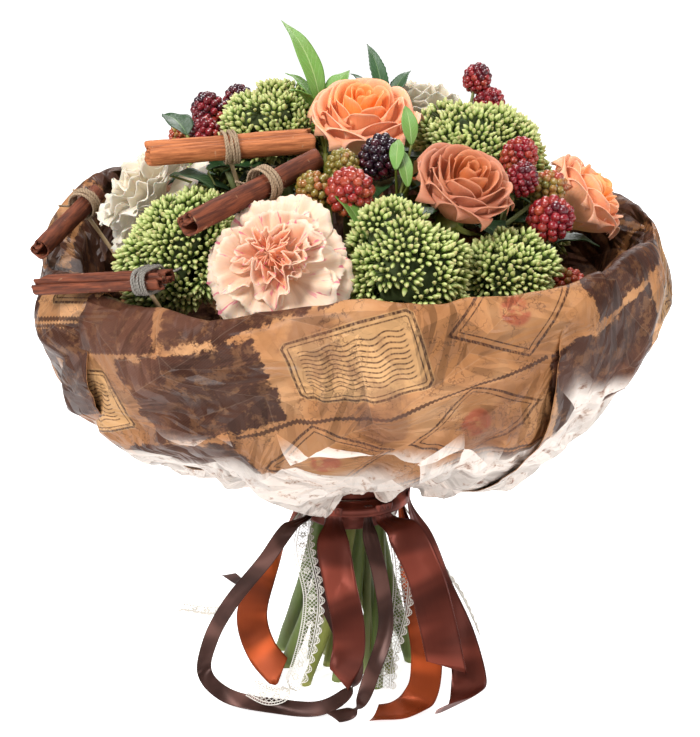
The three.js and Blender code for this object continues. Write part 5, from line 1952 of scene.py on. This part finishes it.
# ---------------------------------------------------------------- paper collar
@dataclass
class Collar:
    """The folded paper collar: a front and a back sheet on one field of folds, in mm and degrees."""

    section: tuple[tuple[float, float], ...] = (
        (27.7, 104), (27.7, 121), (40, 139), (84, 160), (124, 188), (150, 226), (165, 258),
        (176, 271), (184, 254), (180, 224), (162, 188), (122, 157), (56, 139))
    rise: tuple[float, ...] = (10, 13, 17, 22, 30, 28, 0, -10, -12, -3, 0, 6)  # every 30 degrees from +X
    squash: float = 0.045
    fine: int = 12  # rows of the mesh between two rows of the section
    thickness: float = 0.35
    folds_radian: float = 160.0  # mm of folds to a radian round the collar
    print_degree: float = 2.8  # mm of print to a degree

    def point(self, angle: Array, row: Array, nest: float, opened: Array) -> tuple[Array, Array]:
        """Finds points of a sheet's middle surface.

        Args:
            angle: Angles round the axis, in radians.
            row: Rows of the section.
            nest: How far the sheet lies inside the other.
            opened: How far its free ends are lifted outwards.

        Returns:
            The points, and the millimetres along the section.
        """
        last = len(self.section) - 1
        along = row / last
        curve = spline(self.section, last * 40 + 1)
        columns = (*curve.T, *unit(np.gradient(curve, axis=0)).T, run_along(curve))
        at, index = along * (len(curve) - 1), np.arange(len(curve))
        r, z, out, up, sec = (np.interp(at, index, column) for column in columns)
        broad = 1.8 * zigzag(7 * angle + 5 * along) + 1.4 * zigzag(11 * angle - 8 * along + 1.7)
        inward = smooth(along, 0.2, 0.5) * broad - nest
        fold = 1 - 0.72 * np.exp(-((along - 0.6) / 0.05) ** 2)
        broken = crumple(angle * self.folds_radian, sec, BROAD_FOLDS)
        inward = inward + smooth(along, 0.12, 0.35) * broken * fold
        pleats = np.sin(17 * angle + 2.2 * np.sin(3 * angle)) + 0.5 * np.sin(31 * angle + 1.0)
        neck = np.exp(-((along - 0.2) / 0.07) ** 2) + np.exp(-((along - 1.02) / 0.1) ** 2)
        gathers = 2.4 * zigzag(21 * angle + 2 * np.sin(5 * angle)) * smooth(along, 0.84, 0.97)
        inward = inward + 1.3 * pleats * neck + gathers
        hem = smooth(along, 0.8, 1.0)
        ragged = (5.0 * zigzag(5 * angle + 0.8) + 3.6 * zigzag(13 * angle + 2.0 + np.sin(3 * angle))
                  + 1.6 * zigzag(29 * angle))
        z = z - 5.0 * hem + hem * ragged
        flare = hem * (3.6 * zigzag(6 * angle + 1.9) + 2.6 * zigzag(13 * angle + np.sin(3 * angle)))
        squash = 1 - self.squash * np.sin(angle) ** 2 * smooth(along, 0.1, 0.3)
        edge = opened * smooth(along, 0.62, 0.8) * (1 - smooth(along, 0.93, 1.0))
        z = z - out * inward + self.lift(angle, along)
        return polar((r + up * inward + flare + edge) * squash, angle, z), sec

    def lift(self, angle: Array, along: Array) -> Array:
        """The height that the rim gains or loses round the collar.

        Args:
            angle: Angles round the axis, in radians.
            along: Shares of the section.

        Returns:
            Heights in mm.
        """
        place = np.mod(angle / math.pi * 6, 12)
        k = np.floor(place).astype(int) % 12
        ease = (1 - np.cos(math.pi * (place - np.floor(place)))) / 2
        rise = np.array(self.rise)
        bell = smooth(along, 0.25, 0.55) * (1 - smooth(along, 0.6, 0.95))
        return bell * mix(rise[k], rise[(k + 1) % 12], ease)

    def sheet(self, name: str, ends: tuple[float, float], nest: float, gape: float,
              *materials: Material) -> None:
        """Builds one sheet.

        Args:
            name: Its solid's name.
            ends: Its ends in degrees round the axis.
            nest: How far it lies inside the other sheet.
            gape: How far its ends stand off outwards.
            *materials: The materials of the printed side and of the reverse.
        """
        last = len(self.section) - 1
        angle = np.radians(np.linspace(*ends, int((ends[1] - ends[0]) / 0.6)))[:, None]
        row = np.linspace(0, last, last * self.fine + 1)[None, :]
        off = gape * np.exp(-np.minimum(angle - angle[0], angle[-1] - angle) / math.radians(9))
        grid, sec = self.point(angle, row, nest, off)
        pool = Pool()
        pool.sheets(grid, arc=np.degrees(angle) * self.print_degree, sec=sec)
        piece = pool.piece(f"{name}_paper", "printed_paper", [name], *materials, thick=self.thickness)


# ---------------------------------------------------------------- the room
@dataclass
class Studio:
    """A pale floor, soft light and the camera."""

    eye: tuple[float, float, float] = (0.0, -0.9, 0.45)
    aim: tuple[float, float, float] = (0.0, 0.0, 0.19)
    lens: float = 76.25
    lamps: tuple[tuple[Any, ...], ...] = (  # name, place, size and power
        ("key", (-1.0, -1.3, 1.6), 0.7, 40.0), ("fill", (1.7, -1.0, 0.9), 0.9, 14.0),
        ("back", (0.3, 1.6, 1.6), 1.2, 18.0), ("top", (0.1, 0.1, 2.2), 1.0, 20.0))

    def stand(self, name: str, data: Any, at: Sequence[float], aim: Sequence[float]) -> Piece:
        """Places a camera or lamp and turns it to a point.

        Args:
            name: Its name.
            data: Its own data.
            at: Where it stands.
            aim: The point that it looks at.

        Returns:
            Its object.
        """
        made = bpy.data.objects.new(name, data)
        made.location = at
        made.rotation_euler = (Vector(aim) - Vector(at)).to_track_quat("-Z", "Y").to_euler()
        bpy.context.scene.collection.objects.link(made)
        return made

    def camera(self) -> None:
        """Places the camera at the photograph's angle."""
        data = bpy.data.cameras.new("camera")
        data.lens, data.sensor_width = self.lens, 36.0
        data.clip_start, data.clip_end = 0.01, 20.0
        bpy.context.scene.camera = self.stand("camera", data, self.eye, self.aim)

    def floor(self) -> None:
        """Lays the floor."""
        pool = Pool()
        side = np.linspace(-60000, 60000, 25)
        x, y = np.meshgrid(side, side, indexing="ij")
        pool.sheets(np.stack([x, y, 0 * x - 0.3], axis=-1))
        pool.mesh("floor", FloorFinish("floor").material())

    def light(self) -> None:
        """Hangs soft area lights round the bouquet in a bright room."""
        for name, at, size, power in self.lamps:
            data = bpy.data.lights.new(name, "AREA")
            data.shape, data.size, data.energy = "DISK", size, power
            self.stand(name, data, at, (0, 0, 0.2))
        world = bpy.data.worlds.new("room")
        world.use_nodes = True
        room = Shader(world.node_tree)
        seen = room.node("LightPath", output="Is Camera Ray")
        glow = world.node_tree.nodes["Background"]
        room.feed(glow.inputs[0], (1.0, 1.0, 1.0))
        room.feed(glow.inputs[1], 0.28 + seen * 0.72)
        bpy.context.scene.world = world
        bpy.context.scene.view_settings.view_transform = "Standard"


# ---------------------------------------------------------------- the bouquet
@dataclass
class Bouquet:
    """Every piece of the bouquet, with the sizes of each."""

    roses: tuple[Rose, ...] = (
        Rose("rose_top", Seat(7, -16, -3, 20, 20), 31, 3),
        Rose("rose_front", Seat(59, -88, 1, 75), 28, 5),
        Rose("rose_right", Seat(129, -14, 6, 140), 28, 8),
        Rose("rose_back", Seat(58, 114, 1, 10), 29, 13))
    carnations: tuple[Carnation, ...] = (
        Carnation("carnation_front", Seat(-38, -130, -2, 15), 38, 2),
        Carnation("carnation_left", Seat(-117, -24, -4, 50), 37, 4),
        Carnation("carnation_top", Seat(42, 60, 8, 80), 30, 6))
    sedums: tuple[Sedum, ...] = (
        Sedum("sedum_left", Seat(-100, -90, -1), 41, 1),
        Sedum("sedum_top", Seat(-46, 17, 4), 44, 2),
        Sedum("sedum_right", Seat(82, 4, 4), 48, 3),
        Sedum("sedum_front", Seat(33, -128, -2), 42, 4),
        Sedum("sedum_rim", Seat(93, -106, -3), 34, 5),
        Sedum("sedum_back_left", Seat(-74, 98, 0), 46, 6),
        Sedum("sedum_back_right", Seat(114, 68, 0), 42, 7),
        Sedum("sedum_crown", Seat(0, 92, 3), 44, 8))
    sprays: tuple[Spray, ...] = (
        Spray("berries_left", Seat(-82, 30, -22), ((-62, 62, 20, 9.5, 0.8), (-78, 42, 16, 11, 0.72), (-83,
            12, 2, 10, 0.6), (-96, 34, 10, 7, 0.3)), 1),
        Spray("berries_middle", Seat(-2, -76, -30), ((17, -68, -5, 11.5, 0.97), (0, -99, -5, 12.5, 0.46),
            (-19.5, -92, -9, 10, 0.16), (-4, -76, -7, 9, 0.12)), 2),
        Spray("berries_right", Seat(98, -60, -26), ((90, -40, 7, 10, 0.5), (90, -62, 5, 9, 0.68), (106, -50,
            4, 10, 0.24), (105, -74, 4, 12, 0.58), (120, -84, -3, 9.5, 0.4)), 3),
        Spray("berries_crown", Seat(74, 54, -12), ((66, 46, 32, 8.5, 0.66), (76, 44, 20, 9.5, 0.62), (90,
            44, 12, 9, 0.9)), 4),
        Spray("berries_back", Seat(-20, 132, -24), ((-30, 130, 4, 10.5, 0.85), (-8, 132, 5, 10, 0.6), (-20,
            142, -4, 9, 0.3)), 5))
    leaf_sprays: tuple[LeafSpray, ...] = (
        LeafSpray("leaves_tall", Seat(-16, -1, -24), ((-17, 6, 2, 128, 80, 60, 15), (-12, 5, 2, 60, 66, 30,
            14), (-19, 5, 2, 150, 70, 28, 11), (-21, 1, 2, 222, 62, 21, 10)), 0, 0.0),
        LeafSpray("leaves_pointed", Seat(20, 26, -22), ((20, 28, 0, 110, 80, 46, 10), (23, 27, 0, 60, 66,
            34, 10), (17, 27, 0, 130, 64, 32, 9)), 15, 0.4),
        LeafSpray("leaves_left", Seat(-86, -26, -26), ((-93.5, -57.5, 7, 338, 14, 29, 18), (-90, -2, 8, 130,
            50, 26, 18)), 0, 0.7),
        LeafSpray("leaves_middle", Seat(30, -80, -28), ((31, -92, -5, 100, 66, 28, 8), (33, -60, 0, 100, 76,
            26, 9)), 0, 0.2, ((-9, -101, -3, -41, -18, 33, 10), (24, -86, 0, 84, 62, 24, 8))))
    bundles: tuple[Bundle, ...] = (
        Bundle("upper", (-110, -62, 328), (-20, -46, 333), 6.2, 2, 0.5, 0.1),
        Bundle("lower", (-82, -134, 303.5), (-19, -66, 326), 7.2, 1, 0.6, 0.7),
        Bundle("rim", (-174, -46, 272), (-149, 8, 295), 6.4, 1, 0.8, 0.5),
        Bundle("side", (-163, -102, 265), (-92, -132, 275), 4.6, 2, 0.86, 0.8))
    ribbons: tuple[Ribbon, ...] = (
        Ribbon(Weave.LACE, 31.0, (
            Strand(13, -146, ((-27, -42, 92, 0, 0), (-21, -57, 66, 0, 0), (-26, -68, 36, 0, 0), (-34, -78,
                20, 30, 20), (-46, -80, 15, 90, 30), (-58, -74, 18, 90, 40))),
            Strand(13, -38, ((32, -36, 78, 0, 0), (31, -45, 54, 0, 0), (23, -57, 28, 0, 0), (21, -62, 10, 0,
                0))),
            Strand(13, 160, ((-38, 20, 80, 70, 0), (-58, 34, 44, 60, 0), (-78, 50, 12, 60, 0), (-94, 62, 3,
                90, 0), (-114, 66, 3, 90, 0))),
            Strand(12, 30, ((44, 18, 82, 90, 0), (62, 16, 50, 90, 0), (76, 12, 28, 90, 0), (82, 9, 12, 90,
                0))))),
        Ribbon(Weave.COPPER, 32.8, (
            Strand(19, 196, ((-42, -16, 86, 60, 0), (-54, -22, 62, 30, 0), (-60, -24, 38, 10, 0), (-54, -28,
                18, 5, 0), (-42, -34, 5, 10, 0))),
            Strand(19, -18, ((37, -22, 78, 40, 0), (42, -34, 48, 20, 0), (46, -48, 22, 10, 0), (42, -62, 6,
                15, 0), (30, -74, 2, -50, 0), (14, -78, 2, -75, 0))))),
        Ribbon(Weave.TAUPE, 34.6, (
            Strand(9, -134, ((-36, -36, 102, 0, 0), (-50, -42, 84, 0, 0), (-72, -44, 56, 0, 0), (-84, -42,
                32, 0, 0), (-88, -44, 12, 30, 20), (-74, -62, 6, 70, 45), (-44, -74, 5, 90, 45), (-16, -76,
                5, 90, 45), (1, -68, 14, 60, 30), (3, -60, 28, 0, 0), (-8, -50, 46, 0, 0), (-17, -40, 70, 0,
                0)), -112),
            Strand(9, -72, ((12, -40, 98, 0, 0), (18, -50, 76, 0, 0), (21, -60, 49, 0, 0), (13, -71, 25, 0,
                0), (3, -82, 7, 50, 20), (-10, -86, 4, 90, 30))),
            Strand(9, 130, ((-36, 38, 76, 45, 0), (-56, 66, 36, 40, 0), (-70, 90, 9, 30, 0), (-86, 122, 3,
                20, 0))))),
        Ribbon(Weave.SATIN, 36.4, (
            Strand(19, -105, ((-10, -46, 96, 0, 0), (-6, -57, 76, 0, 0), (-1, -66, 53, 0, 0), (-1, -71, 38,
                0, 0), (-6, -76, 23, 40, 0))),
            Strand(22, -56, ((31, -38, 101, 20, 0), (43, -47, 80, 10, 0), (51, -56, 52, 0, 0), (57, -64, 25,
                0, 0))),
            Strand(21, -6, ((44, -12, 88, 65, 0), (55, -22, 60, 50, 0), (67, -38, 30, 35, 0), (71, -58, 12,
                15, 10), (65, -76, 9, -10, 30), (50, -88, 9, -45, 40))))))
    handle: Handle = field(default_factory=Handle)
    collar: Collar = field(default_factory=Collar)

    def blooms(self, stem: StemFinish) -> None:
        """Builds the roses and the carnations.

        Args:
            stem: The finish of their stems.
        """
        rose = PetalFinish("rose petal", (0.81, 0.37, 0.13), (0.85, 0.38, 0.21), (0.87, 0.48, 0.35),
                           (0.94, 0.35, 0.08))
        # A darker, redder copy of the rose petal: painted shade on the front rose.
        shaded_rose = PetalFinish("shaded rose petal", (0.5, 0.18, 0.08), (0.5, 0.18, 0.1), (0.6, 0.28, 0.19),
                                (0.6, 0.18, 0.06))
        for one in self.roses:
            one.petals(shaded_rose if one.name == "rose_front" else rose)
            one.green(stem)
        peach = PetalFinish("peach carnation petal", (0.75, 0.41, 0.19), (0.77, 0.57, 0.42),
                            (0.82, 0.68, 0.56), (0.79, 0.33, 0.18), (0.66, 0.05, 0.19))
        cream = PetalFinish("cream carnation petal", (0.65, 0.54, 0.35), (0.69, 0.63, 0.52), (0.73, 0.7, 0.63),
                            (0.67, 0.58, 0.43))
        for one in self.carnations:
            front = one.name == "carnation_front"
            slot = "peach_carnation_petals" if front else "cream_carnation_petals"
            one.petals(peach if front else cream, slot)
            one.green(stem)

    def greenery(self, stem: StemFinish) -> None:
        """Builds the sedum, the berries and the leaves.

        Args:
            stem: The finish of the leaf sprays' stems.
        """
        stalk = StemFinish("sedum stalk", (0.09, 0.14, 0.025), (0.24, 0.3, 0.08))
        buds = BudFinish("sedum bud", (0.075, 0.135, 0.02), (0.23, 0.33, 0.06), (0.6, 0.64, 0.25),
                         (0.6, 0.45, 0.22))
        for one in self.sedums:
            one.build(buds, stalk)
        bramble = StemFinish("bramble stalk", (0.2, 0.24, 0.07), (0.4, 0.4, 0.2))
        fruit = BerryFinish("ripe berry")
        for one in self.sprays:
            one.build(fruit, bramble)
        bright = LeafFinish("bright leaf", (0.15, 0.3, 0.05), (0.4, 0.52, 0.2))
        dark = LeafFinish("dark leaf", (0.035, 0.1, 0.03), (0.14, 0.24, 0.08), 0.28)
        for one in self.leaf_sprays:
            one.build(dark if one.name in ("leaves_left", "leaves_pointed") else bright, stem)
        Foliage("low_foliage").build(dark)

    def bundled(self) -> None:
        """Builds the cinnamon, with its ties and picks, and the binding of the stems."""
        warm = BarkFinish("orange bark", (0.6, 0.205, 0.075), (0.26, 0.075, 0.026))
        deep = BarkFinish("dark bark", (0.24, 0.066, 0.03), (0.075, 0.022, 0.013))
        jute = FibreFinish("jute twine", (0.66, 0.5, 0.34), (0.36, 0.23, 0.13))
        grey = FibreFinish("grey twine", (0.42, 0.4, 0.36), (0.2, 0.17, 0.14))
        wood = StemFinish("bamboo pick", (0.55, 0.38, 0.2), (0.7, 0.54, 0.34))
        for one in self.bundles:
            one.quills(warm if one.name == "upper" else deep)
            one.twine(grey if one.name == "side" else jute)
            one.pick(wood)
        self.handle.twine(jute)

    def dressed(self) -> None:
        """Builds the ribbons and the paper."""
        satin = RibbonFinish("satin ribbon", (0.1, 0.022, 0.014), (0.06, 0.014, 0.01), 0.26).material()
        self.handle.satin(satin)
        copper = RibbonFinish("copper ribbon", (0.25, 0.044, 0.011), (0.17, 0.03, 0.01), 0.28, 0.4).material()
        taupe = RibbonFinish("taupe ribbon", (0.055, 0.026, 0.021), (0.04, 0.019, 0.016), 0.24).material()
        lace = LaceFinish("cotton lace", (0.84, 0.81, 0.75)).material()
        finishes = {Weave.SATIN: (satin, "red_brown_satin"), Weave.COPPER: (copper, "copper_ribbon"),
                    Weave.TAUPE: (taupe, "taupe_ribbon"), Weave.LACE: (lace, "cream_lace")}
        for one in self.ribbons:
            one.build(*finishes[one.weave])
        sides = PaperFinish("printed paper").material(), PaperFinish("kraft reverse", True).material()
        self.collar.sheet("collar_front", (-150, -42), 1.4, 0.0, *sides)
        self.collar.sheet("collar_back", (-54, 222), 0.0, 7.0, *sides)


def main() -> None:
    """Builds the scene in order."""
    logging.basicConfig(level=logging.INFO, format="%(name)s: %(message)s")
    studio = Studio()
    studio.camera()
    studio.floor()
    studio.light()
    bouquet = Bouquet()
    stem = StemFinish("green stem", (0.14, 0.165, 0.018), (0.3, 0.31, 0.06))
    bouquet.blooms(stem)
    bouquet.greenery(stem)
    bouquet.bundled()
    bouquet.dressed()


if __name__ == "__main__":
    main()
